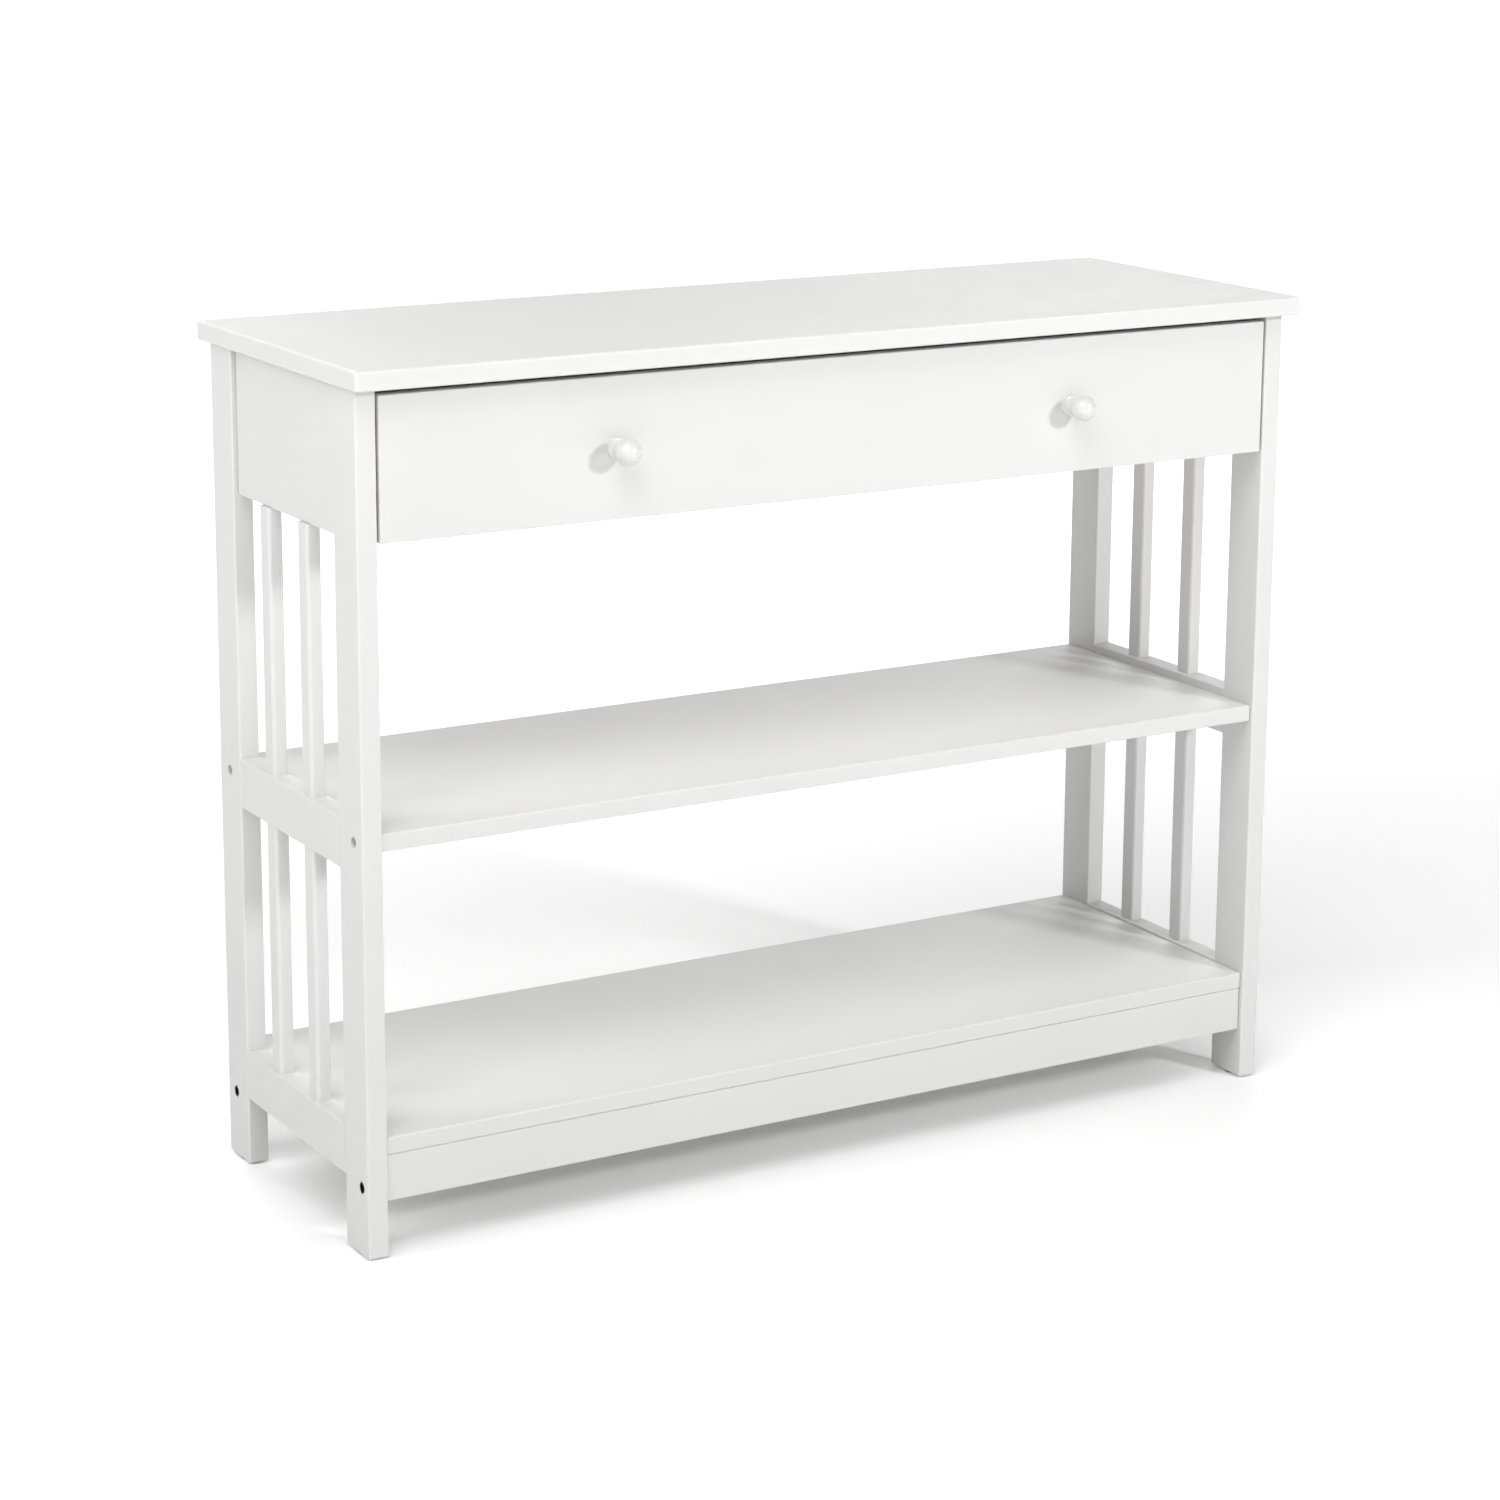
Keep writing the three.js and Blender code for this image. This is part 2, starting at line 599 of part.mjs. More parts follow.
// The rail on a drawer side: a flange under the side's edge and one that runs on the roller.
function slideRail(side) {
  const web = railWall + SLIDE_SHEET;
  const under = BOX_BOTTOM - GAP;
  const running = TRACK_HEIGHT + FLANGE_RISE;
  const outline = [
    [railWall - SUPPORT_FLANGE, under - SLIDE_SHEET],
    [web, under - SLIDE_SHEET],
    [web, running],
    [web + RUNNING_FLANGE, running],
    [web + RUNNING_FLANGE, running + SLIDE_SHEET],
    [railWall, running + SLIDE_SHEET],
    [railWall, under],
    [railWall - SUPPORT_FLANGE, under],
  ];
  const tip = rollerMiddle + ROLLER_WIDTH / 2 + SLIDE_SHEET / 2;
  const root = web - ROLLER_PIN_ROOT;
  const pin = barAlongX(ROLLER_PIN_RADIUS, side * root, side * tip, rearRollerY, rearRollerZ);
  return join([profileAlongY(outline, SLIDE_FRONT, SLIDE_BACK, side), pin]);
}

function roller(side, y, z) {
  const inner = rollerMiddle - ROLLER_WIDTH / 2;
  const outer = rollerMiddle + ROLLER_WIDTH / 2;
  const wheel = barAlongX(ROLLER_RADIUS, side * inner, side * outer, y, z, FINE_ROUND_SIDES);
  const boreEnds = [side * (inner - OVERCUT), side * (outer + OVERCUT)];
  const bore = barAlongX(ROLLER_BORE_RADIUS, ...boreEnds, y, z);
  return cut(wheel, [bore]);
}

for (const { side, label } of ends) {
  add(`slide_channel_${label}`, slideChannel(side), coatedSteel());
  add(`slide_rail_${label}`, slideRail(side), coatedSteel());
  add(`channel_roller_${label}`, roller(side, frontRollerY, frontRollerZ), nylon());
  add(`rail_roller_${label}`, roller(side, rearRollerY, rearRollerZ), nylon());
}

export default group;
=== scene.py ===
"""The looks of a console table with one drawer, two shelves and slatted end frames.

Everything is in metres, with +X along the table, -Y at the drawer and +Z up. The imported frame
gives each piece its place. The boards, knobs and fittings are made again here with eased edges,
drilled bores, bent sheet and turned profiles, and each takes a procedural finish.
"""

import math

import bmesh
import bpy
from bpy.props import FloatProperty, FloatVectorProperty, IntProperty, PointerProperty
from mathutils import Matrix, Vector
from mathutils.geometry import interpolate_bezier


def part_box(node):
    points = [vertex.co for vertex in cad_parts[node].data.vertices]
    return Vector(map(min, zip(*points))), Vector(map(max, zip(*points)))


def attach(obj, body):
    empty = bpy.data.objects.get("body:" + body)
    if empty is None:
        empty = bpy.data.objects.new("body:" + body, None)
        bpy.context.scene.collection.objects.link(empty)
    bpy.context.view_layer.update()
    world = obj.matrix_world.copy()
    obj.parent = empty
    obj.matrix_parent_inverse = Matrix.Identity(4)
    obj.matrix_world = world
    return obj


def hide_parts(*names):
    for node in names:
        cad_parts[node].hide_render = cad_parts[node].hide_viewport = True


bl_info = {
    "name": "Console Table",
    "version": (1, 0, 0),
    "blender": (4, 5, 0),
    "location": "View3D > Sidebar > Console Table",
    "description": "Makes the pieces, finishes and stage of a white console table",
    "category": "Add Mesh",
}

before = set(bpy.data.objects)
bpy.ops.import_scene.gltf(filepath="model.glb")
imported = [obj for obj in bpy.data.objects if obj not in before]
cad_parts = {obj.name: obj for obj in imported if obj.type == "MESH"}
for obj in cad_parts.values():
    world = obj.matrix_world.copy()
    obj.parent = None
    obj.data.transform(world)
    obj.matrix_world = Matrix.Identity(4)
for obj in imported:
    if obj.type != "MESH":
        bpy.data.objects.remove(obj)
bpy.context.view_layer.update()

MM = 0.001
TINY = 1e-6
X, Y, Z = Vector((1, 0, 0)), Vector((0, 1, 0)), Vector((0, 0, 1))
AXES = (X, Y, Z)
ENDS = (("left", -1), ("right", 1))
PLACES = ("front", "rear")
# The layer that marks eased edges, where the lacquer paints a lighter, warmer highlight
EASED_EDGE_LAYER = "eased_edge_highlight"  # on each face: 1 where an edge was eased, and 0 elsewhere
SHARP_ANGLE = math.radians(40)
PAPER_NEAR, PAPER_FAR = 1.2, 5.0  # where the paper floor starts to glow, and glows in full
GLOW_NEAR, GLOW_FAR = 0.07, 1.05


# ---- Sizes and colours a user would change ---------------------------------------------------


def linear(code):
    """A colour for Blender from an sRGB hex code."""
    channels = [int(code[i : i + 2], 16) / 255 for i in (0, 2, 4)]
    return tuple(c / 12.92 if c <= 0.04045 else ((c + 0.055) / 1.055) ** 2.4 for c in channels)


def length(name, millimetres, description):
    return FloatProperty(
        name=name,
        description=description,
        default=millimetres * MM,
        min=0,
        precision=5,
        subtype="DISTANCE",
        unit="LENGTH",
    )


def colour(name, code, description):
    return FloatVectorProperty(
        name=name,
        description=description,
        default=linear(code),
        min=0,
        max=1,
        size=3,
        subtype="COLOR",
    )


class TableSizes(bpy.types.PropertyGroup):
    """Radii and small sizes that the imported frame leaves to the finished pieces."""

    top_ease: length("Tabletop Edge", 2.5, "Radius of the tabletop's edges")
    board_ease: length("Board Edge", 1.6, "Radius of the long edges of legs, rails and shelves")
    slat_ease: length("Slat Edge", 3, "Radius of the slats' long edges")
    joint_ease: length("Joint Edge", 0.5, "Radius of an edge that meets another board")
    foot_ease: length("Foot Edge", 1, "Radius round the lower end of each leg")
    box_ease: length("Drawer Box Edge", 0.8, "Radius of the drawer box's edges")
    bore_radius: length("Bolt Bore", 5, "Radius of the bores over the bolt heads")
    bore_depth: length("Bore Depth", 8, "Depth of the bores over the bolt heads")
    bore_chamfer: length("Bore Chamfer", 0.3, "Break on a bore's mouth")
    knob_neck: length("Knob Neck", 6, "Radius of a knob's neck")
    knob_flange: length("Knob Flange", 9.6, "Radius of a knob's flange")
    knob_flange_thick: length("Flange Thickness", 2.6, "Thickness of a knob's flange")
    slide_sheet: length("Slide Sheet", 1.2, "Thickness of the slides' steel")
    bracket_sheet: length("Bracket Sheet", 2, "Thickness of the brackets' steel")
    nut_radius: length("Barrel Nut", 5, "Radius of the barrel nuts under the shelf")
    ease_steps: IntProperty(
        name="Edge Steps",
        description="Facets across an eased edge",
        default=5,
        min=1,
        max=12,
    )
    turning_steps: IntProperty(
        name="Turning Steps",
        description="Facets round a turned piece",
        default=64,
        min=12,
        max=128,
    )


class TableColours(bpy.types.PropertyGroup):
    """Base colours of the finishes and of the floor."""

    lacquer: colour("Lacquer", "D3D3D2", "Sprayed lacquer on the boards")
    # Lighter, warmer colour of the painted highlight along the eased edges
    lacquer_edge_highlight: colour("Lacquer on Edges", "DBDAD8", "Lacquer where an edge was rubbed down")
    knob: colour("Knobs", "D4D4D3", "Dipped lacquer on the knobs")
    foil: colour("Drawer Foil", "D0CEC8", "Foil on the drawer box")
    coated_steel: colour("Coated Steel", "CFCDC6", "Powder coat on the slides")
    zinc: colour("Zinc", "B4B8BC", "Zinc plating on bolts, screws and brackets")
    nylon: colour("Nylon", "D2CFC6", "Rollers of the slides")
    glide: colour("Glides", "3B3B3B", "Plastic glides under the legs")
    floor: colour("Floor", "FBFBFB", "Paper floor of the stage")


# ---- Finishes --------------------------------------------------------------------------------


def add_node(tree, kind, links=None, **settings):
    """Adds a node, with its settings, and with a value or a link for each input socket named."""
    made = tree.nodes.new(kind)
    for name, value in settings.items():
        setattr(made, name, value)
    for name, value in (links or {}).items():
        if isinstance(value, bpy.types.NodeSocket):
            tree.links.new(value, made.inputs[name])
        else:
            made.inputs[name].default_value = value
    return made


def new_finish(name, **values):
    """A material with a shader whose plain values are set, and the piece's Object coordinates."""
    material = bpy.data.materials.new(name)
    material.use_nodes = True
    tree = material.node_tree
    tree.nodes.clear()
    shader = add_node(tree, "ShaderNodeBsdfPrincipled", values)
    add_node(tree, "ShaderNodeOutputMaterial", {"Surface": shader.outputs["BSDF"]})
    place = add_node(tree, "ShaderNodeTexCoord").outputs["Object"]
    return material, tree, shader, place


def grain(tree, place, size, detail=2.0, stretch=(1, 1, 1)):
    """Noise from 0 to 1 whose patches are about one size, in millimetres, across."""
    moved = add_node(
        tree, "ShaderNodeMapping", {"Vector": place, "Scale": stretch}, vector_type="POINT"
    )
    noise = add_node(
        tree,
        "ShaderNodeTexNoise",
        {"Vector": moved.outputs["Vector"], "Scale": 1 / (size * MM), "Detail": detail},
    )
    return noise.outputs["Fac"]


def spread(tree, value, low, high):
    """Noise spread over a range of values, since it seldom leaves 0.3 to 0.7."""
    ranged = add_node(
        tree,
        "ShaderNodeMapRange",
        {"Value": value, "From Min": 0.3, "From Max": 0.7, "To Min": low, "To Max": high},
    )
    return ranged.outputs["Result"]


def blend(tree, share, first, second):
    """A colour between two others."""
    mixed = add_node(tree, "ShaderNodeMix", data_type="RGBA")
    for socket, value in ((0, share), (6, first), (7, second)):
        if isinstance(value, bpy.types.NodeSocket):
            tree.links.new(value, mixed.inputs[socket])
        else:
            mixed.inputs[socket].default_value = value if socket == 0 else (*value, 1)
    return mixed.outputs[2]


def times(tree, first, second):
    made = add_node(tree, "ShaderNodeMath", {0: first, 1: second}, operation="MULTIPLY")
    return made.outputs[0]


def shaded(rgb, share):
    """A colour with its brightness multiplied."""
    return tuple(min(1.0, c * share) for c in rgb)


def mottled(tree, noise, rgb, darkest, lightest):
    """A colour that noise carries from a darker shade of it to a lighter one."""
    return blend(tree, spread(tree, noise, 0, 1), shaded(rgb, darkest), shaded(rgb, lightest))


def emboss(tree, shader, height, strength, depth):
    """Lets noise tilt the shading, as relief of a depth in millimetres would."""
    relief = add_node(
        tree,
        "ShaderNodeBump",
        {"Strength": strength, "Distance": depth * MM, "Height": height},
    )
    tree.links.new(relief.outputs["Normal"], shader.inputs["Normal"])


def satin_lacquer(colours):
    """Satin polyurethane lacquer, sprayed in two coats on primed fibreboard and rubbed down.

    It gives the eye an even white with a soft sheen, a hardly visible cloudiness where the coat
    is thicker, a shallow orange peel in the highlights, and smoother edges whose colour is a
    painted highlight, a touch lighter and warmer. Real orange peel is 1 to 2 mm across, and is
    drawn at 5 mm so that it shows.
    """
    material, tree, shader, place = new_finish("satin_polyurethane_lacquer", IOR=1.42)
    even = mottled(tree, grain(tree, place, 120), colours.lacquer, 0.985, 1.01)
    # Eased edges get a lighter, warmer colour in patches, a painted highlight along them, and are
    # made smoother
    edges = add_node(tree, "ShaderNodeAttribute", attribute_name=EASED_EDGE_LAYER).outputs["Fac"]
    edge_highlight_mask = times(tree, edges, spread(tree, grain(tree, place, 14), 0.35, 0.9))
    tone = blend(tree, edge_highlight_mask, even, tuple(colours.lacquer_edge_highlight))
    tree.links.new(tone, shader.inputs["Base Color"])
    matt = spread(tree, grain(tree, place, 30), 0.52, 0.6)
    smoother = add_node(
        tree, "ShaderNodeMath", {0: matt, 1: times(tree, edge_highlight_mask, 0.08)}, operation="SUBTRACT"
    )
    tree.links.new(smoother.outputs[0], shader.inputs["Roughness"])
    emboss(tree, shader, grain(tree, place, 5, 1.0), 0.3, 0.03)
    return material


def dipped_lacquer(colours):
    """Gloss lacquer on turned hardwood knobs, dipped and left to drain.

    It gives the eye a brighter, rounder highlight than the boards have. Faint rings left by the
    turning tool, a millimetre apart, break it up.
    """
    material, tree, shader, place = new_finish("dipped_gloss_lacquer", IOR=1.5)
    tone = mottled(tree, grain(tree, place, 20), colours.knob, 0.985, 1.01)
    tree.links.new(tone, shader.inputs["Base Color"])
    tree.links.new(spread(tree, grain(tree, place, 8), 0.22, 0.3), shader.inputs["Roughness"])
    emboss(tree, shader, grain(tree, place, 4, 1.0, (0.15, 4, 0.15)), 0.3, 0.02)
    return material


def embossed_foil(colours):
    """Printed paper foil, laminated on particle board for the drawer box.

    It gives the eye a duller, slightly creamier white than the lacquer, with short embossed
    pores. Real pores are 0.3 mm wide and are drawn at 1.5 mm so that they show.
    """
    material, tree, shader, place = new_finish("embossed_paper_foil", IOR=1.45)
    pores = grain(tree, place, 1.5, 2.0, (0.25, 0.25, 1))
    tone = mottled(tree, pores, colours.foil, 0.96, 1.02)
    tree.links.new(tone, shader.inputs["Base Color"])
    tree.links.new(spread(tree, grain(tree, place, 50), 0.5, 0.62), shader.inputs["Roughness"])
    emboss(tree, shader, pores, 0.35, 0.06)
    return material


def powder_coat(colours):
    """Epoxy powder coat, baked on roll-formed steel slides.

    It gives the eye a hard, glossy cream white with a pebbled skin, 2 mm from bump to bump.
    """
    material, tree, shader, place = new_finish("epoxy_powder_coat", IOR=1.55)
    tone = mottled(tree, grain(tree, place, 30), colours.coated_steel, 0.97, 1.02)
    tree.links.new(tone, shader.inputs["Base Color"])
    pebbles = grain(tree, place, 2, 1.0)
    tree.links.new(spread(tree, pebbles, 0.26, 0.34), shader.inputs["Roughness"])
    emboss(tree, shader, pebbles, 0.4, 0.05)
    return material


def zinc_plating(colours):
    """Bright zinc plating, passivated blue, on bolts, screws and pressed brackets.

    It gives the eye a cool grey metal with faint bluish and yellowish patches 3 mm across, and
    drawing marks along it that blur the highlights.
    """
    material, tree, shader, place = new_finish("blue_passivated_zinc", Metallic=1.0)
    base = tuple(colours.zinc)
    patches = spread(tree, grain(tree, place, 3), 0, 1)
    yellowish = (base[0] * 1.03, base[1] * 0.98, base[2] * 0.88)
    tree.links.new(blend(tree, patches, base, yellowish), shader.inputs["Base Color"])
    marks = grain(tree, place, 0.6, 2.0, (0.1, 1, 1))
    tree.links.new(spread(tree, marks, 0.24, 0.42), shader.inputs["Roughness"])
    emboss(tree, shader, marks, 0.25, 0.02)
    return material


def moulded_nylon(colours):
    """Natural nylon 6, injection moulded, for the slides' rollers.

    It gives the eye a milky off-white with a low sheen and faint flow marks.
    """
    material, tree, shader, place = new_finish("moulded_nylon", IOR=1.53)
    flow = grain(tree, place, 6, 3.0)
    tone = mottled(tree, flow, colours.nylon, 0.96, 1.02)
    tree.links.new(tone, shader.inputs["Base Color"])
    tree.links.new(spread(tree, flow, 0.4, 0.5), shader.inputs["Roughness"])
    emboss(tree, shader, flow, 0.2, 0.03)
    return material


def polyethylene(colours):
    """Black polyethylene, moulded in a spark-eroded tool, for the glides under the legs.

    It gives the eye a dull dark grey with a 1 mm grain and paler scuffs from the floor.
    """
    material, tree, shader, place = new_finish("moulded_polyethylene", IOR=1.51)
    base = tuple(colours.glide)
    scuffs = spread(tree, grain(tree, place, 4, 4.0), -0.6, 1)
    tone = blend(tree, scuffs, base, shaded(base, 1.9))
    tree.links.new(tone, shader.inputs["Base Color"])
    skin = grain(tree, place, 1)
    tree.links.new(spread(tree, skin, 0.5, 0.65), shader.inputs["Roughness"])
    emboss(tree, shader, skin, 0.4, 0.04)
    return material


def paper_floor(colours):
    """Seamless background paper, unrolled under the table: matt, pale and very faintly fibrous.

    Its own light is faint by the table and full far from it, so that the paper runs out to white.
    """
    material, tree, shader, place = new_finish("seamless_paper", IOR=1.4)
    base = tuple(colours.floor)
    away = add_node(tree, "ShaderNodeVectorMath", {"Vector": place}, operation="LENGTH")
    glow = add_node(
        tree,
        "ShaderNodeMapRange",
        {
            "Value": away.outputs["Value"],
            "From Min": PAPER_NEAR,
            "From Max": PAPER_FAR,
            "To Min": GLOW_NEAR,
            "To Max": GLOW_FAR,
        },
        interpolation_type="SMOOTHSTEP",
    )
    tree.links.new(glow.outputs["Result"], shader.inputs["Emission Strength"])
    shader.inputs["Emission Color"].default_value = (1, 1, 1, 1)
    fibres = spread(tree, grain(tree, place, 20, 3.0), 0, 1)
    tone = blend(tree, fibres, shaded(base, 0.995), base)
    tree.links.new(tone, shader.inputs["Base Color"])
    tree.links.new(spread(tree, fibres, 0.9, 0.95), shader.inputs["Roughness"])
    return material


FINISHES = {
    "white_paint": satin_lacquer,
    "knob_paint": dipped_lacquer,
    "drawer_foil": embossed_foil,
    "coated_steel": powder_coat,
    "zinc_steel": zinc_plating,
    "nylon": moulded_nylon,
    "glide_plastic": polyethylene,
    "stage_paper": paper_floor,
}
made_finishes = {}


def finish_for(slot):
    """The finish of a material slot, made the first time that it is asked for."""
    if slot not in made_finishes:
        made_finishes[slot] = FINISHES[slot](bpy.context.scene.table_colours)
    return made_finishes[slot]


# ---- Shapes ----------------------------------------------------------------------------------

BREAK_STEPS = 2  # facets across an edge that is only broken
SMALL_STEPS = 3  # facets across a small round
BEND_STEPS = 4
CROWN_STEPS = 4  # facets across the rounded edge of a turned head
SCREW_STEPS = 32  # facets round a screw or a nut
WHEEL_STEPS = 48  # facets round a roller, a glide or a bolt
RIVET_STEPS = 24
PATCH_PER_BORE = 1.35  # half the square that a bore is cut in, per radius of the bore


def new_mesh():
    """An empty bmesh with the layer of eased edges, where the lacquer paints a highlight."""
    bm = bmesh.new()
    bm.faces.layers.float.new(EASED_EDGE_LAYER)
    return bm


def ease(bm, edges, radius, steps):
    """Rounds edges over, and marks the faces of the round."""
    if radius <= 0 or not edges:
        return
    made = bmesh.ops.bevel(
        bm,
        geom=edges,
        offset=radius,
        offset_type="OFFSET",
        segments=steps,
        profile=0.5,
        affect="EDGES",
        clamp_overlap=True,
        material=-1,
    )
    # The faces of the round are marked, and there the lacquer paints a highlight
    rubbed = bm.faces.layers.float[EASED_EDGE_LAYER]
    for face in made["faces"]:
        face[rubbed] = 1


def edges_at(bm, axis, value):
    """The edges that lie in the plane where one coordinate has one value."""
    return [
        edge for edge in bm.edges if all(abs(v.co[axis] - value) < TINY for v in edge.verts)
    ]


def block(low, high):
    """A squared blank between two corners, to be eased, drilled and routed."""
    bm = new_mesh()
    bmesh.ops.create_cube(bm, size=1)
    bmesh.ops.scale(bm, vec=high - low, verts=bm.verts)
    bmesh.ops.translate(bm, vec=(low + high) / 2, verts=bm.verts)
    return bm


def board(low, high, along, radius, ends=(0, 0)):
    """A board between two corners: its four long edges eased, and each end's rim if asked."""
    steps = bpy.context.scene.table_sizes.ease_steps
    bm = block(low, high)
    if ends == (radius, radius):
        ease(bm, bm.edges[:], radius, steps)
        return bm
    run = AXES[along]
    long_edges = [
        edge
        for edge in bm.edges
        if abs((edge.verts[0].co - edge.verts[1].co).normalized().dot(run)) > 1 - TINY
    ]
    ease(bm, long_edges, radius, steps)
    for value, end_radius in ((low[along], ends[0]), (high[along], ends[1])):
        ease(bm, edges_at(bm, along, value), end_radius, max(BREAK_STEPS, steps // 2))
    return bm


def face_at(bm, point, outward):
    """The flat face that looks outward and holds a point."""
    for face in bm.faces:
        level = abs((face.verts[0].co - point).dot(outward)) < TINY
        if level and face.normal.dot(outward) > 1 - TINY:
            if bmesh.geometry.intersect_face_point(face, point):
                return face
    raise ValueError(f"no face looks along {outward} at {point}")


def patch_at(bm, point, outward, half_sizes):
    """Cuts a rectangle out of a flat face, round a point, and returns it as its own face.

    half_sizes gives its half length along each axis that lies in the face.
    """
    for axis, half in half_sizes.items():
        for offset in (-half, half):
            face = face_at(bm, point, outward)
            bmesh.ops.bisect_plane(
                bm,
                geom=[face, *face.edges, *face.verts],
                dist=TINY,
                plane_co=point + AXES[axis] * offset,
                plane_no=AXES[axis],
            )
            bm.normal_update()
    return face_at(bm, point, outward)


def in_plane(outward):
    return [axis for axis in range(3) if abs(outward[axis]) < 0.5]


def facing(outward, centre):
    """A matrix that puts a flat shape at a centre with its +Z looking outward."""
    turn = outward.to_track_quat("Z", "Y").to_matrix().to_4x4()
    return Matrix.Translation(centre) @ turn


def sink(bm, edges, shift):
    """Extrudes a ring of edges along a vector, closes its far end, and returns the new ring."""
    made = bmesh.ops.extrude_edge_only(bm, edges=edges)["geom"]
    verts = [part for part in made if isinstance(part, bmesh.types.BMVert)]
    ring = [
        part
        for part in made
        if isinstance(part, bmesh.types.BMEdge) and all(v in verts for v in part.verts)
    ]
    bmesh.ops.translate(bm, vec=shift, verts=verts)
    bmesh.ops.contextual_create(bm, geom=ring)
    return ring


def ring_of(bm, outline, matrix):
    """A closed ring of edges through points given in a flat shape's own plane."""
    verts = [bm.verts.new(matrix @ Vector((x, y, 0))) for x, y in outline]
    return [bm.edges.new((vert, verts[i - 1])) for i, vert in enumerate(verts)]


def round_outline(radius, sides):
    turns = [2 * math.pi * (i + 0.5) / sides for i in range(sides)]
    return [(radius * math.cos(turn), radius * math.sin(turn)) for turn in turns]


def drill(bm, centre, outward, radius, depth, chamfer):
    """Drills a blind hole with a broken edge into a flat face."""
    sides = bpy.context.scene.table_sizes.turning_steps // 2
    half = radius * PATCH_PER_BORE
    patch = patch_at(bm, centre, outward, {axis: half for axis in in_plane(outward)})
    rim = patch.edges[:]
    bmesh.ops.delete(bm, geom=[patch], context="FACES_ONLY")
    bmesh.ops.subdivide_edges(bm, edges=rim, cuts=sides // 4 - 1)
    rim = [edge for edge in bm.edges if edge.is_boundary]
    mouth = ring_of(bm, round_outline(radius, sides), facing(outward, centre))
    bmesh.ops.bridge_loops(bm, edges=rim + mouth)
    sink(bm, mouth, -outward * depth)
    bmesh.ops.recalc_face_normals(bm, faces=bm.faces)
    ease(bm, [edge for edge in mouth if edge.is_valid], chamfer, BREAK_STEPS)
    bm.normal_update()


def rout(bm, centre, outward, half_sizes, depth):
    """Cuts a square-bottomed groove into a flat face."""
    patch = patch_at(bm, centre, outward, half_sizes)
    rim = patch.edges[:]
    bmesh.ops.delete(bm, geom=[patch], context="FACES_ONLY")
    sink(bm, rim, -outward * depth)
    bmesh.ops.recalc_face_normals(bm, faces=bm.faces)


def turned(profile, centre, outward, steps, bm=None):
    """A shape turned about a line through a centre: profile holds (height, radius) pairs."""
    bm = bm or new_mesh()
    matrix = facing(outward, centre)
    verts = [bm.verts.new(matrix @ Vector((radius, 0, height))) for height, radius in profile]
    edges = [bm.edges.new(pair) for pair in zip(verts, verts[1:])]
    bmesh.ops.spin(
        bm,
        geom=verts + edges,
        cent=centre,
        axis=outward,
        angle=2 * math.pi,
        steps=steps,
        use_merge=True,
    )
    bmesh.ops.remove_doubles(bm, verts=bm.verts, dist=TINY)
    bmesh.ops.recalc_face_normals(bm, faces=bm.faces)
    return bm


def arc(centre, radius, start, end, steps):
    """Points (height, radius) on an arc, with angles from the turning line's own direction."""
    turns = [start + (end - start) * i / steps for i in range(steps + 1)]
    return [(centre[0] + radius * math.cos(t), centre[1] + radius * math.sin(t)) for t in turns]


def with_socket(bm, outline, centre, outward, depth):
    """Closes a turned head's open top with a driver socket of a given outline."""
    top = [edge for edge in bm.edges if edge.is_boundary]
    mouth = ring_of(bm, outline, facing(outward, centre))
    bmesh.ops.bridge_loops(bm, edges=top + mouth)
    sink(bm, mouth, -outward * depth)
    bmesh.ops.recalc_face_normals(bm, faces=bm.faces)


def hexagon(half_width):
    return round_outline(half_width / math.cos(math.pi / 6), 6)


def cross(reach, half_width):
    """The outline of a cross recess."""
    a, b = reach, half_width
    return [
        (a, b), (b, b), (b, a), (-b, a), (-b, b), (-a, b),
        (-a, -b), (-b, -b), (-b, -a), (b, -a), (b, -b), (a, -b),
    ]  # fmt: skip


def slot_outline(half_length, half_width):
    return [
        (half_length, half_width),
        (-half_length, half_width),
        (-half_length, -half_width),
        (half_length, -half_width),
    ]


def bent_sheet(outline, low_y, high_y, bend_radius):
    """Folded sheet with no thickness yet: an outline in X and Z, drawn out along Y."""
    bm = new_mesh()
    verts = [bm.verts.new((x, low_y, z)) for x, z in outline]
    edges = [bm.edges.new(pair) for pair in zip(verts, verts[1:])]
    made = bmesh.ops.extrude_edge_only(bm, edges=edges)["geom"]
    far = [part for part in made if isinstance(part, bmesh.types.BMVert)]
    bmesh.ops.translate(bm, vec=(0, high_y - low_y, 0), verts=far)
    bends = [edge for edge in bm.edges if len(edge.link_faces) == 2]
    ease(bm, bends, bend_radius, BEND_STEPS)
    return bm


def finished(bm, name, slot, body, stands_for=(), thickness=None):
    """Makes a piece of a bmesh, gives it its finish, and lets it ride on its body."""
    bmesh.ops.recalc_face_normals(bm, faces=bm.faces)
    mesh = bpy.data.meshes.new(name)
    bm.to_mesh(mesh)
    bm.free()
    mesh.materials.append(finish_for(slot))
    mesh.shade_smooth()
    mesh.set_sharp_from_angle(angle=SHARP_ANGLE)
    piece = bpy.data.objects.new(name, mesh)
    bpy.context.scene.collection.objects.link(piece)
    if thickness:
        wall = piece.modifiers.new("Sheet", "SOLIDIFY")
        wall.thickness = thickness
        wall.offset = 0
        wall.use_even_offset = True
    flats = piece.modifiers.new("Flat faces stay flat", "WEIGHTED_NORMAL")
    flats.keep_sharp = True
    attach(piece, body)
    if stands_for:
        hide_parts(*stands_for)
    return piece


def stretched(box, low=(0, 0, 0), high=(0, 0, 0)):
    """A node's box, with each corner moved so that glued joints close."""
    return box[0] + Vector(low), box[1] + Vector(high)


def middle(box):
    return (box[0] + box[1]) / 2


def outer_x(box, side):
    """Where a box ends in X, on the side that points away from the table's middle."""
    return box[1].x if side > 0 else box[0].x


def inner_x(box, side):
    """Where a box ends in X, on the side that points to the table's middle."""
    return outer_x(box, -side)


GLUE_GAP = 0.3 * MM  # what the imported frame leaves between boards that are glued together


# ---- Pieces ----------------------------------------------------------------------------------


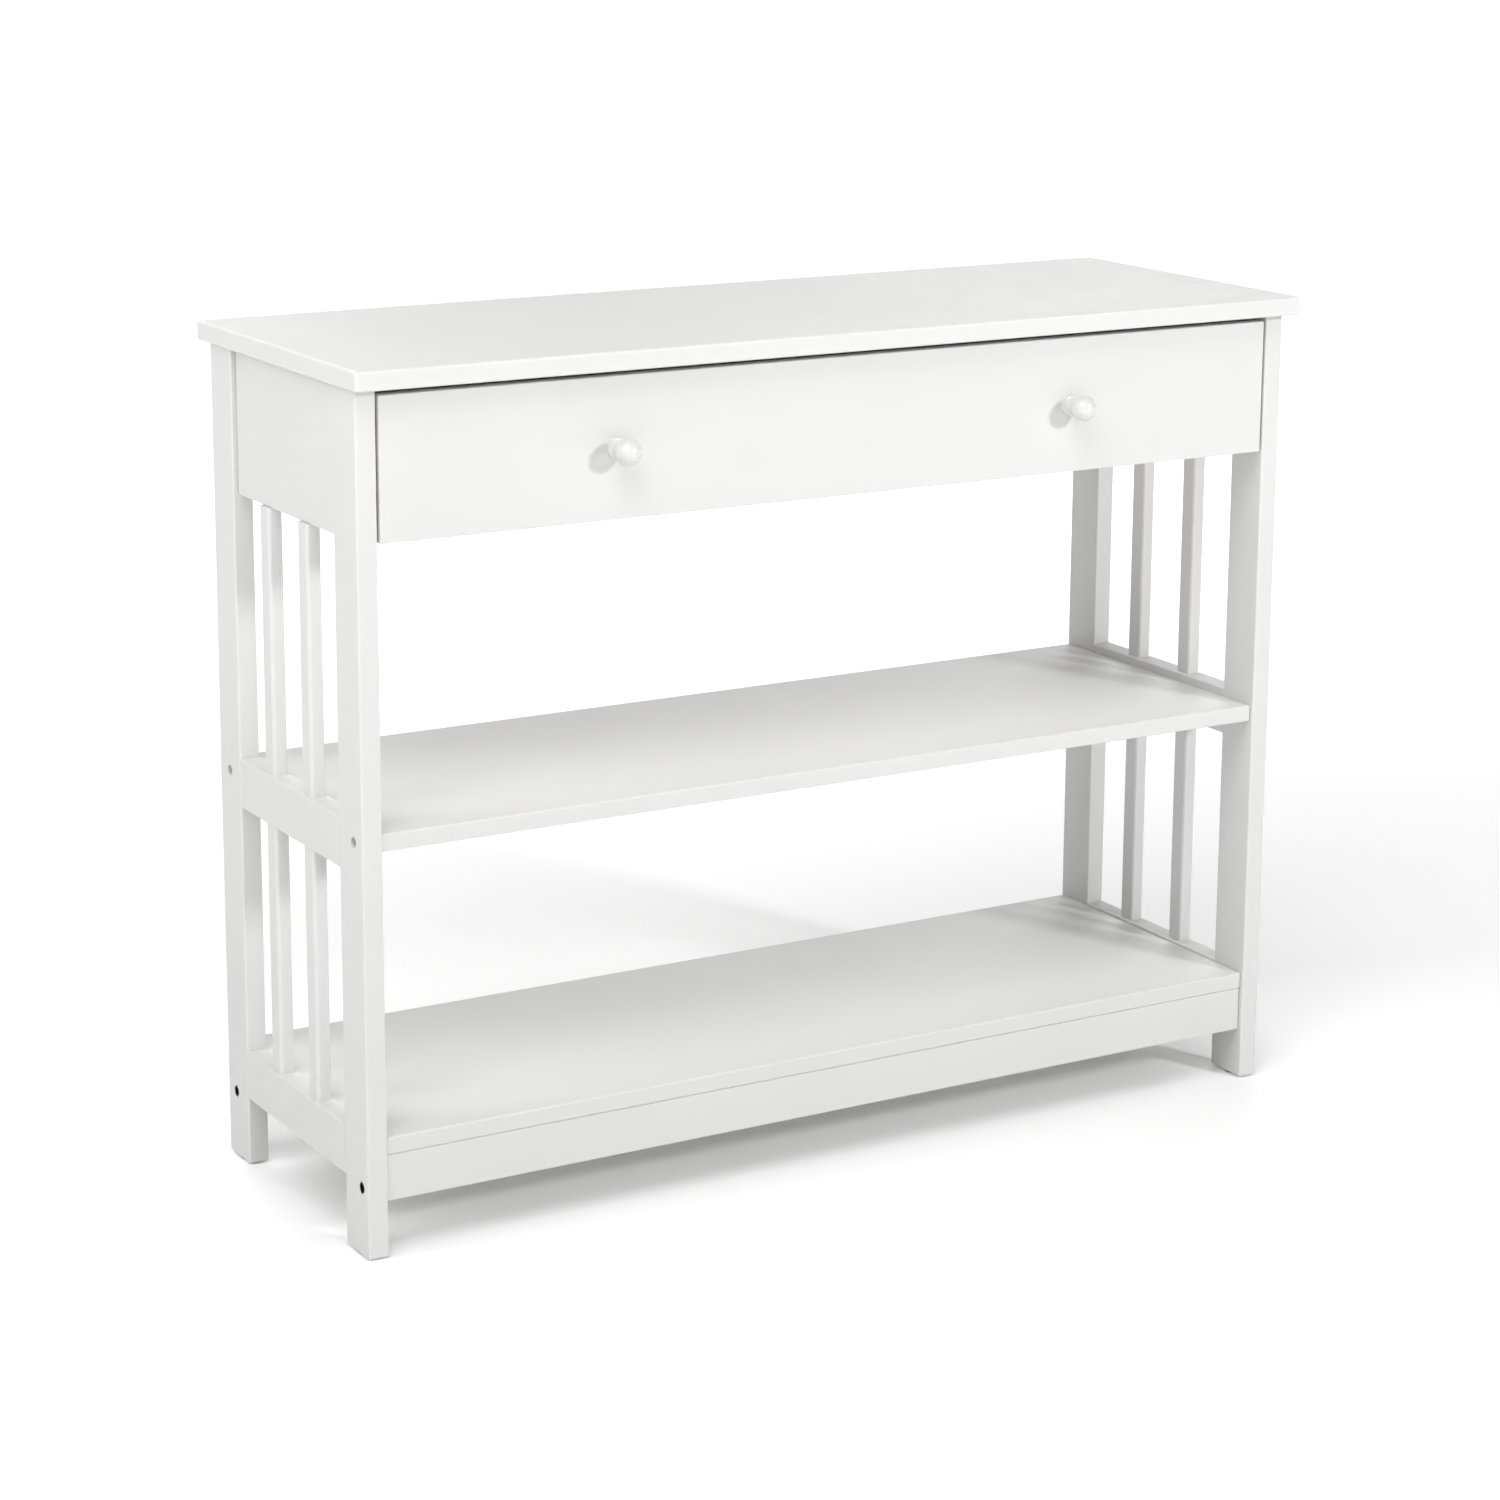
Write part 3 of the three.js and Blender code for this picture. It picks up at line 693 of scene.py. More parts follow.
class CONSOLE_TABLE_OT_tabletop(bpy.types.Operator):
    """Makes the tabletop, a board with every edge rounded over"""

    bl_idname = "console_table.tabletop"
    bl_label = "Tabletop"

    def execute(self, context):
        radius = context.scene.table_sizes.top_ease
        bm = board(*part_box("tabletop"), 0, radius, (radius, radius))
        finished(bm, "tabletop_board", "white_paint", "frame", ["tabletop"])
        return {"FINISHED"}


class CONSOLE_TABLE_OT_legs(bpy.types.Operator):
    """Makes the four legs, with the bores that the bolt heads sit in"""

    bl_idname = "console_table.legs"
    bl_label = "Legs"

    def execute(self, context):
        for place in PLACES:
            for label, side in ENDS:
                self.leg(context.scene.table_sizes, place, label, side)
        return {"FINISHED"}

    def leg(self, sizes, place, label, side):
        node = f"leg_{place}_{label}"
        low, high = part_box(node)
        bm = block(low, high)
        # A front leg's back edges were sanded flush with the panel and rails, so they stay crisp.
        back_radius = sizes.joint_ease if place == "front" else sizes.board_ease
        for y, radius in ((low.y, sizes.board_ease), (high.y, back_radius)):
            upright = [
                edge
                for edge in edges_at(bm, 1, y)
                if abs(edge.verts[0].co.z - edge.verts[1].co.z) > TINY
            ]
            ease(bm, upright, radius, sizes.ease_steps)
        ease(bm, edges_at(bm, 2, low.z), sizes.foot_ease, SMALL_STEPS)
        ease(bm, edges_at(bm, 2, high.z), sizes.joint_ease, BREAK_STEPS)
        outward = X * side
        face_x = outer_x((low, high), side)
        for level in ("shelf", "apron"):
            spot = middle(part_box(f"bolt_{level}_{place}_{label}"))
            centre = Vector((face_x, spot.y, spot.z))
            drill(bm, centre, outward, sizes.bore_radius, sizes.bore_depth, sizes.bore_chamfer)
        finished(bm, f"{node}_post", "white_paint", "frame", [node])


class CONSOLE_TABLE_OT_end_boards(bpy.types.Operator):
    """Makes the side panels, end rails and slats between the legs"""

    bl_idname = "console_table.end_boards"
    bl_label = "Side Panels, Rails and Slats"

    def execute(self, context):
        sizes = context.scene.table_sizes
        for label, _ in ENDS:
            node = f"side_panel_{label}"
            box = stretched(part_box(node), low=(0, -GLUE_GAP, 0))
            bm = board(*box, 1, sizes.board_ease, (0, sizes.joint_ease))
            finished(bm, f"{node}_board", "white_paint", "frame", [node])
            for level in ("middle", "bottom"):
                node = f"{level}_rail_{label}"
                box = stretched(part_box(node), low=(0, -GLUE_GAP, 0))
                bm = board(*box, 1, sizes.board_ease, (0, sizes.joint_ease))
                finished(bm, f"{node}_board", "white_paint", "frame", [node])
            for level in ("upper", "lower"):
                for place in PLACES:
                    node = f"slat_{level}_{place}_{label}"
                    box = stretched(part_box(node), (0, 0, -GLUE_GAP), (0, 0, GLUE_GAP))
                    bm = board(*box, 2, sizes.slat_ease)
                    finished(bm, f"{node}_bar", "white_paint", "frame", [node])
        return {"FINISHED"}


class CONSOLE_TABLE_OT_shelves(bpy.types.Operator):
    """Makes the two shelves, the aprons under the lower one and the panel behind the drawer"""

    bl_idname = "console_table.shelves"
    bl_label = "Shelves, Aprons and Rear Panel"

    def execute(self, context):
        sizes = context.scene.table_sizes
        ends = (sizes.joint_ease, sizes.joint_ease)
        for node in ("middle_shelf", "bottom_shelf", "front_apron", "rear_apron", "rear_panel"):
            bm = board(*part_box(node), 0, sizes.board_ease, ends)
            for centre, outward in nut_places(node):
                drill(bm, centre, outward, sizes.nut_radius, NUT_LENGTH, sizes.bore_chamfer)
            finished(bm, f"{node}_board", "white_paint", "frame", [node])
        return {"FINISHED"}


NUT_LENGTH = 12 * MM
NUT_FROM_TIP = 8 * MM  # from a bolt's tip to the middle of its nut
NUT_SINK = 0.4 * MM
NUT_GAP = 0.2 * MM
NUT_BREAK = 0.4 * MM
NUT_FACE_SHARE = 0.8  # radius of a nut's flat face, per radius of the nut
NUT_SLOT_SHARE = 0.65  # half the length of its slot, per radius of the nut
NUT_SLOT_HALF_WIDTH = 0.6 * MM
NUT_SLOT_DEPTH = 1.2 * MM


def nut_places(node):
    """Where the barrel nuts go into a board: (centre of the bore's mouth, its outward side)."""
    sides = {
        "middle_shelf": ("shelf", PLACES, -Z),
        "front_apron": ("apron", ("front",), Y),
        "rear_apron": ("apron", ("rear",), -Y),
    }
    if node not in sides:
        return []
    level, places, outward = sides[node]
    low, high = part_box(node)
    found = []
    for place in places:
        for label, side in ENDS:
            bolt_low, bolt_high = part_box(f"bolt_{level}_{place}_{label}")
            centre = middle((bolt_low, bolt_high))
            centre.x = inner_x((bolt_low, bolt_high), side) + side * NUT_FROM_TIP
            for axis in range(3):
                if outward[axis]:
                    centre[axis] = high[axis] if outward[axis] > 0 else low[axis]
            found.append((centre, outward))
    return found


class CONSOLE_TABLE_OT_barrel_nuts(bpy.types.Operator):
    """Makes the slotted barrel nuts that the bolts screw into"""

    bl_idname = "console_table.barrel_nuts"
    bl_label = "Barrel Nuts"

    def execute(self, context):
        sizes = context.scene.table_sizes
        radius = sizes.nut_radius - NUT_GAP
        profile = [
            (NUT_GAP - NUT_LENGTH, 0),
            (NUT_GAP - NUT_LENGTH, radius),
            (-NUT_SINK - NUT_BREAK, radius),
            (-NUT_SINK, radius - NUT_BREAK),
            (-NUT_SINK, radius * NUT_FACE_SHARE),
        ]
        slot = slot_outline(radius * NUT_SLOT_SHARE, NUT_SLOT_HALF_WIDTH)
        for node in ("middle_shelf", "front_apron", "rear_apron"):
            for number, (centre, outward) in enumerate(nut_places(node), 1):
                bm = turned(profile, centre, outward, SCREW_STEPS)
                with_socket(bm, slot, centre - outward * NUT_SINK, outward, NUT_SLOT_DEPTH)
                finished(bm, f"barrel_nut_{node}_{number}", "zinc_steel", "frame")
        return {"FINISHED"}


SOCKET_MOUTH = 1.35  # radius of a head's open top, per half of its socket's width


class CONSOLE_TABLE_OT_bolts(bpy.types.Operator):
    """Makes the eight assembly bolts, with rounded heads and hexagon sockets"""

    bl_idname = "console_table.bolts"
    bl_label = "Assembly Bolts"

    head_length: length("Head Length", 5, "Length of a bolt's head")
    shank_radius: length("Shank", 3, "Radius of a bolt's shank")
    socket_half_width: length("Socket", 2, "Half the width across a socket's flats")
    socket_depth: length("Socket Depth", 2.6, "Depth of a socket")
    head_ease: length("Head Edge", 0.8, "Radius of a head's edge")
    tip_break: length("Tip", 0.6, "Size of the chamfer at a bolt's tip")

    def execute(self, context):
        for level in ("shelf", "apron"):
            for place in PLACES:
                for label, side in ENDS:
                    self.bolt(f"bolt_{level}_{place}_{label}", side)
        return {"FINISHED"}

    def bolt(self, node, side):
        low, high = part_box(node)
        head_radius = (high.z - low.z) / 2
        full_length = high.x - low.x
        soft = self.head_ease
        rounded = arc((-soft, head_radius - soft), soft, math.pi / 2, 0, CROWN_STEPS)
        profile = [
            (-full_length, 0),
            (-full_length, self.shank_radius - self.tip_break),
            (self.tip_break - full_length, self.shank_radius),
            (-self.head_length, self.shank_radius),
            (-self.head_length, head_radius),
            *rounded,
            (0, self.socket_half_width * SOCKET_MOUTH),
        ]
        centre = middle((low, high))
        centre.x = outer_x((low, high), side)
        bm = turned(profile, centre, X * side, WHEEL_STEPS)
        outline = hexagon(self.socket_half_width)
        with_socket(bm, outline, centre, X * side, self.socket_depth)
        finished(bm, f"{node}_screw", "zinc_steel", "frame", [node])


class CONSOLE_TABLE_OT_glides(bpy.types.Operator):
    """Makes the glides nailed under the legs"""

    bl_idname = "console_table.glides"
    bl_label = "Foot Glides"

    sole_ease: length("Sole Edge", 0.8, "Radius round a glide's sole")
    nail_dish: length("Nail Dish", 3, "Radius of the dish round the nail")
    nail_radius: length("Nail Head", 2.4, "Radius of the dish's flat bottom")
    dish_depth: length("Dish Depth", 0.3, "Depth of the dish round the nail")

    def execute(self, context):
        for place in PLACES:
            for label, _ in ENDS:
                node = f"foot_glide_{place}_{label}"
                low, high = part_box(node)
                radius = (high.x - low.x) / 2
                thick = high.z - low.z + GLUE_GAP
                soft = self.sole_ease
                sole = arc((thick - soft, radius - soft), soft, math.pi / 2, 0, CROWN_STEPS)
                floor = thick - self.dish_depth
                dish = [(thick, self.nail_dish), (floor, self.nail_radius), (floor, 0)]
                centre = middle((low, high))
                centre.z = high.z + GLUE_GAP
                bm = turned([(0, 0), (0, radius), *sole, *dish], centre, -Z, WHEEL_STEPS)
                finished(bm, f"{node}_disc", "glide_plastic", "frame", [node])
        return {"FINISHED"}


class CONSOLE_TABLE_OT_brackets(bpy.types.Operator):
    """Makes the pressed angle brackets under the tabletop, with their screws"""

    bl_idname = "console_table.brackets"
    bl_label = "Angle Brackets"

    bend: length("Bend", 2, "Radius of a bracket's bend")
    corner: length("Corner", 4, "Radius of a bracket's free corners")
    screw_shift: length("Screw Shift", 2, "Distance of the screws from the middle, off the bend")

    def execute(self, context):
        sheet = context.scene.table_sizes.bracket_sheet
        for place in PLACES:
            for label, side in ENDS:
                node = f"top_bracket_{place}_{label}"
                low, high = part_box(node)
                wall = outer_x((low, high), side)
                web = wall - side * sheet / 2
                plate = high.z - sheet / 2
                outline = [(inner_x((low, high), side), plate), (web, plate), (web, low.z)]
                bm = bent_sheet(outline, low.y, high.y, self.bend)
                corners = [v for v in bm.verts if len(v.link_edges) == 2]
                bmesh.ops.bevel(
                    bm,
                    geom=corners,
                    offset=self.corner,
                    offset_type="OFFSET",
                    segments=BEND_STEPS,
                    profile=0.5,
                    affect="VERTICES",
                    material=-1,
                )
                finished(bm, f"{node}_angle", "zinc_steel", "frame", [node], thickness=sheet)
                spot = middle((low, high))
                shift = self.screw_shift
                under = Vector((spot.x - side * shift, spot.y, high.z - sheet))
                beside = Vector((wall - side * sheet, spot.y, spot.z - shift))
                pan_screw(f"{node}_top_screw", under, -Z, "frame")
                pan_screw(f"{node}_side_screw", beside, -X * side, "frame")
        return {"FINISHED"}


CROWN_SHARE = 0.7  # radius of a pan head's crown, per height of the head
FLAT_SHARE = 0.55  # radius of its flat top, per radius of the head
CROSS_SHARE = 0.42  # reach of its cross recess, per radius of the head
RECESS_SHARE = 0.6  # depth of the recess, per height of the head
CROSS_HALF_WIDTH = 0.45 * MM
SHANK_RADIUS = 2 * MM
SCREW_POINT = 1 * MM


def pan_screw(name, seat, outward, body, radius=3.5 * MM, height=2 * MM, stands_for=(), shank=0):
    """A pan-head screw with a cross recess, its head on a seat and looking outward."""
    rise = height * CROWN_SHARE
    crown = arc((height - rise, radius - rise), rise, math.pi / 2, 0, CROWN_STEPS + 1)
    stem = [(-shank, 0), (SCREW_POINT - shank, SHANK_RADIUS), (0, SHANK_RADIUS)]
    start = stem if shank else [(0, 0)]
    profile = [*start, (0, radius), *crown, (height, radius * FLAT_SHARE)]
    bm = turned(profile, seat, outward, SCREW_STEPS)
    recess = cross(radius * CROSS_SHARE, CROSS_HALF_WIDTH)
    with_socket(bm, recess, seat + outward * height, outward, height * RECESS_SHARE)
    finished(bm, name, "zinc_steel", body, stands_for)


GROOVE_END = 0.1 * MM  # uncut rim that closes a drawer side's groove at each end
FLOOR_EASE_SHARE = 0.25  # radius of the drawer floor's edges, per radius of the box's


class CONSOLE_TABLE_OT_drawer(bpy.types.Operator):
    """Makes the drawer: its front and the box behind it, with the floor in a groove"""

    bl_idname = "console_table.drawer"
    bl_label = "Drawer"

    groove_depth: length("Groove Depth", 6, "Depth of the groove that holds the floor")

    def execute(self, context):
        sizes = context.scene.table_sizes
        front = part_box("drawer_front")
        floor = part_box("drawer_floor")
        groove_height = (floor[1].z - floor[0].z) / 2 + GLUE_GAP
        groove_z = middle(floor).z

        radius = sizes.board_ease
        bm = board(*front, 0, radius, (radius, radius))
        groove = Vector((0, front[1].y, groove_z))
        box_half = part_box("drawer_side_right")[1].x
        rout(bm, groove, Y, {0: box_half, 2: groove_height}, self.groove_depth)
        finished(bm, "drawer_front_board", "white_paint", "drawer", ["drawer_front"])

        for label, side in ENDS:
            node = f"drawer_side_{label}"
            low, high = stretched(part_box(node), low=(0, -GLUE_GAP, 0))
            bm = board(low, high, 1, sizes.box_ease)
            inner = inner_x((low, high), side)
            groove = Vector((inner, (low.y + high.y) / 2, groove_z))
            half_length = (high.y - low.y) / 2
            strip = {2: groove_height, 1: half_length - GROOVE_END}
            rout(bm, groove, -X * side, strip, self.groove_depth)
            finished(bm, f"{node}_board", "drawer_foil", "drawer", [node])

        back = stretched(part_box("drawer_back"), (-GLUE_GAP, 0, 0), (GLUE_GAP, 0, 0))
        bm = board(*back, 0, sizes.box_ease)
        finished(bm, "drawer_back_board", "drawer_foil", "drawer", ["drawer_back"])
        bm = board(*floor, 0, sizes.box_ease * FLOOR_EASE_SHARE)
        finished(bm, "drawer_floor_sheet", "drawer_foil", "drawer", ["drawer_floor"])
        self.box_screws(back)
        return {"FINISHED"}

    def box_screws(self, back):
        """Screws through each drawer side into the back's end grain."""
        for label, side in ENDS:
            outer = outer_x(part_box(f"drawer_side_{label}"), side)
            for number, share in enumerate((0.25, 0.75), 1):
                height = back[0].z + (back[1].z - back[0].z) * share
                seat = Vector((outer, middle(back).y, height))
                name = f"drawer_side_{label}_screw_{number}"
                pan_screw(name, seat, X * side, "drawer", radius=3 * MM, height=1.6 * MM)


NECK_SWEEP = 1.1  # how far the neck's curve leans in at the flange, per width that it loses
BALL_SWEEP = 0.7  # how far it leans back at the ball, per lean at the flange
NECK_PINCH = 0.6 * MM
NECK_STEPS = 10
BALL_STEPS = 26


class CONSOLE_TABLE_OT_knobs(bpy.types.Operator):
    """Makes the two turned ball knobs and the screws that hold them"""

    bl_idname = "console_table.knobs"
    bl_label = "Knobs"

    flange_ease: length("Flange Edge", 1, "Radius of a flange's edge")

    def execute(self, context):
        sizes = context.scene.table_sizes
        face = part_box("drawer_front")[0].y
        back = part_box("drawer_front")[1].y
        for label, _ in ENDS:
            low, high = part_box(f"knob_{label}")
            centre = middle((low, high))
            centre.y = face
            profile = self.profile(sizes, face - low.y, (high.x - low.x) / 2)
            bm = turned(profile, centre, -Y, sizes.turning_steps)
            finished(bm, f"knob_{label}_turned", "knob_paint", "drawer", [f"knob_{label}"])
            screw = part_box(f"knob_screw_{label}")
            pan_screw(
                f"knob_screw_{label}_head",
                Vector((centre.x, back, centre.z)),
                Y,
                "drawer",
                radius=(screw[1].x - screw[0].x) / 2,
                height=screw[1].y - back,
                stands_for=[f"knob_screw_{label}"],
                shank=back - screw[0].y,
            )
        return {"FINISHED"}

    def profile(self, sizes, reach, ball_radius):
        """Flange, hollow neck and ball, from the drawer front out to the tip."""
        soft = self.flange_ease
        rim_middle = (sizes.knob_flange_thick - soft, sizes.knob_flange - soft)
        rim = arc(rim_middle, soft, math.pi / 2, 0, CROWN_STEPS)
        ball_middle = reach - ball_radius
        meet = math.asin(sizes.knob_neck / ball_radius)
        start = Vector((sizes.knob_flange_thick, sizes.knob_flange - soft))
        end = Vector((ball_middle - ball_radius * math.cos(meet), sizes.knob_neck))
        pull = (start.y - sizes.knob_neck) * NECK_SWEEP
        waist = interpolate_bezier(
            start.to_3d(),
            (start - Vector((0, pull))).to_3d(),
            (end - Vector((pull * BALL_SWEEP, NECK_PINCH))).to_3d(),
            end.to_3d(),
            NECK_STEPS,
        )
        neck = [(point.x, point.y) for point in waist[1:-1]]
        ball = arc((ball_middle, 0), ball_radius, math.pi - meet, 0, BALL_STEPS)
        return [(0, 0), (0, sizes.knob_flange), *rim, *neck, *ball[:-1], (reach, 0)]


CHANNEL_SCREWS = (0.2, 0.5, 0.85)  # places along a channel, per length of it
RAIL_SCREWS = (0.15, 0.6)
TREAD_EASE = 0.8 * MM
DISH_DEPTH = 0.8 * MM
HUB_WALL = 1.6 * MM
HUB_DRAFT = 0.4 * MM
DISH_RIM = 2.4 * MM  # from the tread to the foot of the dish
TREAD_RIM = 2 * MM
PIN_PLAY = 0.4 * MM
PIN_TIP = 0.5 * MM  # how far a pin stands out of its roller
PIN_EASE = 0.6 * MM


class CONSOLE_TABLE_OT_slides(bpy.types.Operator):
    """Makes the drawer slides: channels, rails, rollers, rivets and screws"""

    bl_idname = "console_table.slides"
    bl_label = "Drawer Slides"

    support_flange: length("Support Flange", 10, "Width of the flange under a drawer side")
    roller_bore: length("Roller Bore", 2.8, "Radius of the bore in a roller")
    channel_bend: length("Channel Bend", 1.4, "Radius of a channel's bends")
    rail_bend: length("Rail Bend", 1.2, "Radius of a rail's bends")

    def execute(self, context):
        sheet = context.scene.table_sizes.slide_sheet
        for label, side in ENDS:
            self.channel(label, side, sheet)
            self.rail(label, side, sheet)
            for kind, body in (("channel", "frame"), ("rail", "drawer")):
                self.roller(f"{kind}_roller_{label}")
                self.rivet(kind, label, side, body, sheet)
        return {"FINISHED"}

    def channel(self, label, side, sheet):
        node = f"slide_channel_{label}"
        low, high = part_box(node)
        wall = outer_x((low, high), side)
        lip = inner_x((low, high), side)
        web = wall - side * sheet / 2
        bottom, top = low.z + sheet / 2, high.z - sheet / 2
        outline = [(lip, bottom), (web, bottom), (web, top), (lip, top)]
        bm = bent_sheet(outline, low.y, high.y, self.channel_bend)
        finished(bm, f"{node}_section", "coated_steel", "frame", [node], thickness=sheet)
        for number, share in enumerate(CHANNEL_SCREWS, 1):
            y = low.y + (high.y - low.y) * share
            spot = Vector((wall - side * sheet, y, middle((low, high)).z))
            name = f"{node}_screw_{number}"
            pan_screw(name, spot, -X * side, "frame", radius=3.2 * MM, height=1 * MM)

    def rail(self, label, side, sheet):
        node = f"slide_rail_{label}"
        low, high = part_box(node)
        inner = inner_x((low, high), side)
        outer = outer_x((low, high), side)
        web = inner + side * (self.support_flange + sheet / 2)
        bottom, top = low.z + sheet / 2, high.z - sheet / 2
        outline = [(inner, bottom), (web, bottom), (web, top), (outer, top)]
        bm = bent_sheet(outline, low.y, high.y, self.rail_bend)
        finished(bm, f"{node}_section", "coated_steel", "drawer", [node], thickness=sheet)
        for number, share in enumerate(RAIL_SCREWS, 1):
            y = low.y + (high.y - low.y) * share
            spot = Vector((web + side * sheet / 2, y, middle((low, high)).z))
            name = f"{node}_screw_{number}"
            pan_screw(name, spot, X * side, "drawer", radius=3 * MM, height=1.2 * MM)

    def roller(self, node):
        """A roller with rounded treads, a dished face and a raised hub round its bore."""
        low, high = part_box(node)
        half = (high.x - low.x) / 2
        radius = (high.z - low.z) / 2
        hub = self.roller_bore + HUB_WALL
        corner_middle = (half - TREAD_EASE, radius - TREAD_EASE)
        corner = arc(corner_middle, TREAD_EASE, 0, math.pi / 2, SMALL_STEPS)
        face = [
            (half, self.roller_bore),
            (half, hub),
            (half - DISH_DEPTH, hub + HUB_DRAFT),
            (half - DISH_DEPTH, radius - DISH_RIM),
            (half, radius - TREAD_RIM),
            *corner,
        ]
        mirrored = [(-height, r) for height, r in reversed(face)]
        ring = [*face, *mirrored, face[0]]
        bm = turned(ring, middle((low, high)), X, WHEEL_STEPS)
        finished(bm, f"{node}_wheel", "nylon", f"{node}_body", [node])

    def rivet(self, kind, label, side, body, sheet):
        """The pin that a roller turns on, riveted in its sheet."""
        low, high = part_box(f"{kind}_roller_{label}")
        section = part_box(f"slide_{kind}_{label}")
        centre = middle((low, high))
        pin = self.roller_bore - PIN_PLAY
        tip = (high.x - low.x) / 2 + PIN_TIP
        head = arc((tip - PIN_EASE, pin - PIN_EASE), PIN_EASE, math.pi / 2, 0, CROWN_STEPS)
        if kind == "channel":
            outward = -X * side
            root = abs(outer_x(section, side) - centre.x) - sheet
        else:
            outward = X * side
            root = abs(centre.x - inner_x(section, side)) - self.support_flange - sheet
        profile = [(-root, 0), (-root, pin), *head, (tip, 0)]
        bm = turned(profile, centre, outward, RIVET_STEPS)
        finished(bm, f"{kind}_rivet_{label}", "zinc_steel", body)


# ---- Stage -----------------------------------------------------------------------------------

CAMERA_PLACE = (-1.7538, -2.9514, 1.2755)
CAMERA_YAW = math.radians(30.454)
CAMERA_PITCH = math.radians(12.413)
CAMERA_ROLL = math.radians(0.328)
CAMERA_LENS = 88.22
CAMERA_SHIFT = -0.1
STAGE_MIDDLE = Vector((0, 0, 0.4))
# Soft boxes round the table: azimuth and elevation in degrees, size in metres, power in watts.
SOFT_BOXES = {
    "key_light": (27, 22, 0.5, 68),
    "soft_box_front": (0, 30, 2.4, 10),
    "soft_box_front_high": (0, 55, 2.4, 8),
    "soft_box_back_right": (135, 30, 2.4, 44),
    "soft_box_back": (180, 30, 2.4, 67),
    "soft_box_left": (270, 30, 2.4, 54),
    "soft_box_front_left": (315, 30, 2.4, 22),
    "soft_box_front_left_high": (315, 55, 2.4, 68),
}
SOFT_BOX_DISTANCE = 4.0
SKY_STRENGTH = 0.01
FLOOR_HALF = 60.0
FLOOR_CELLS = 8


def direction(azimuth, elevation):
    """Unit vector towards a place round the table: 0 is in front of it, and 90 to its right."""
    turn, rise = math.radians(azimuth), math.radians(elevation)
    return Vector(
        (math.sin(turn) * math.cos(rise), -math.cos(turn) * math.cos(rise), math.sin(rise))
    )


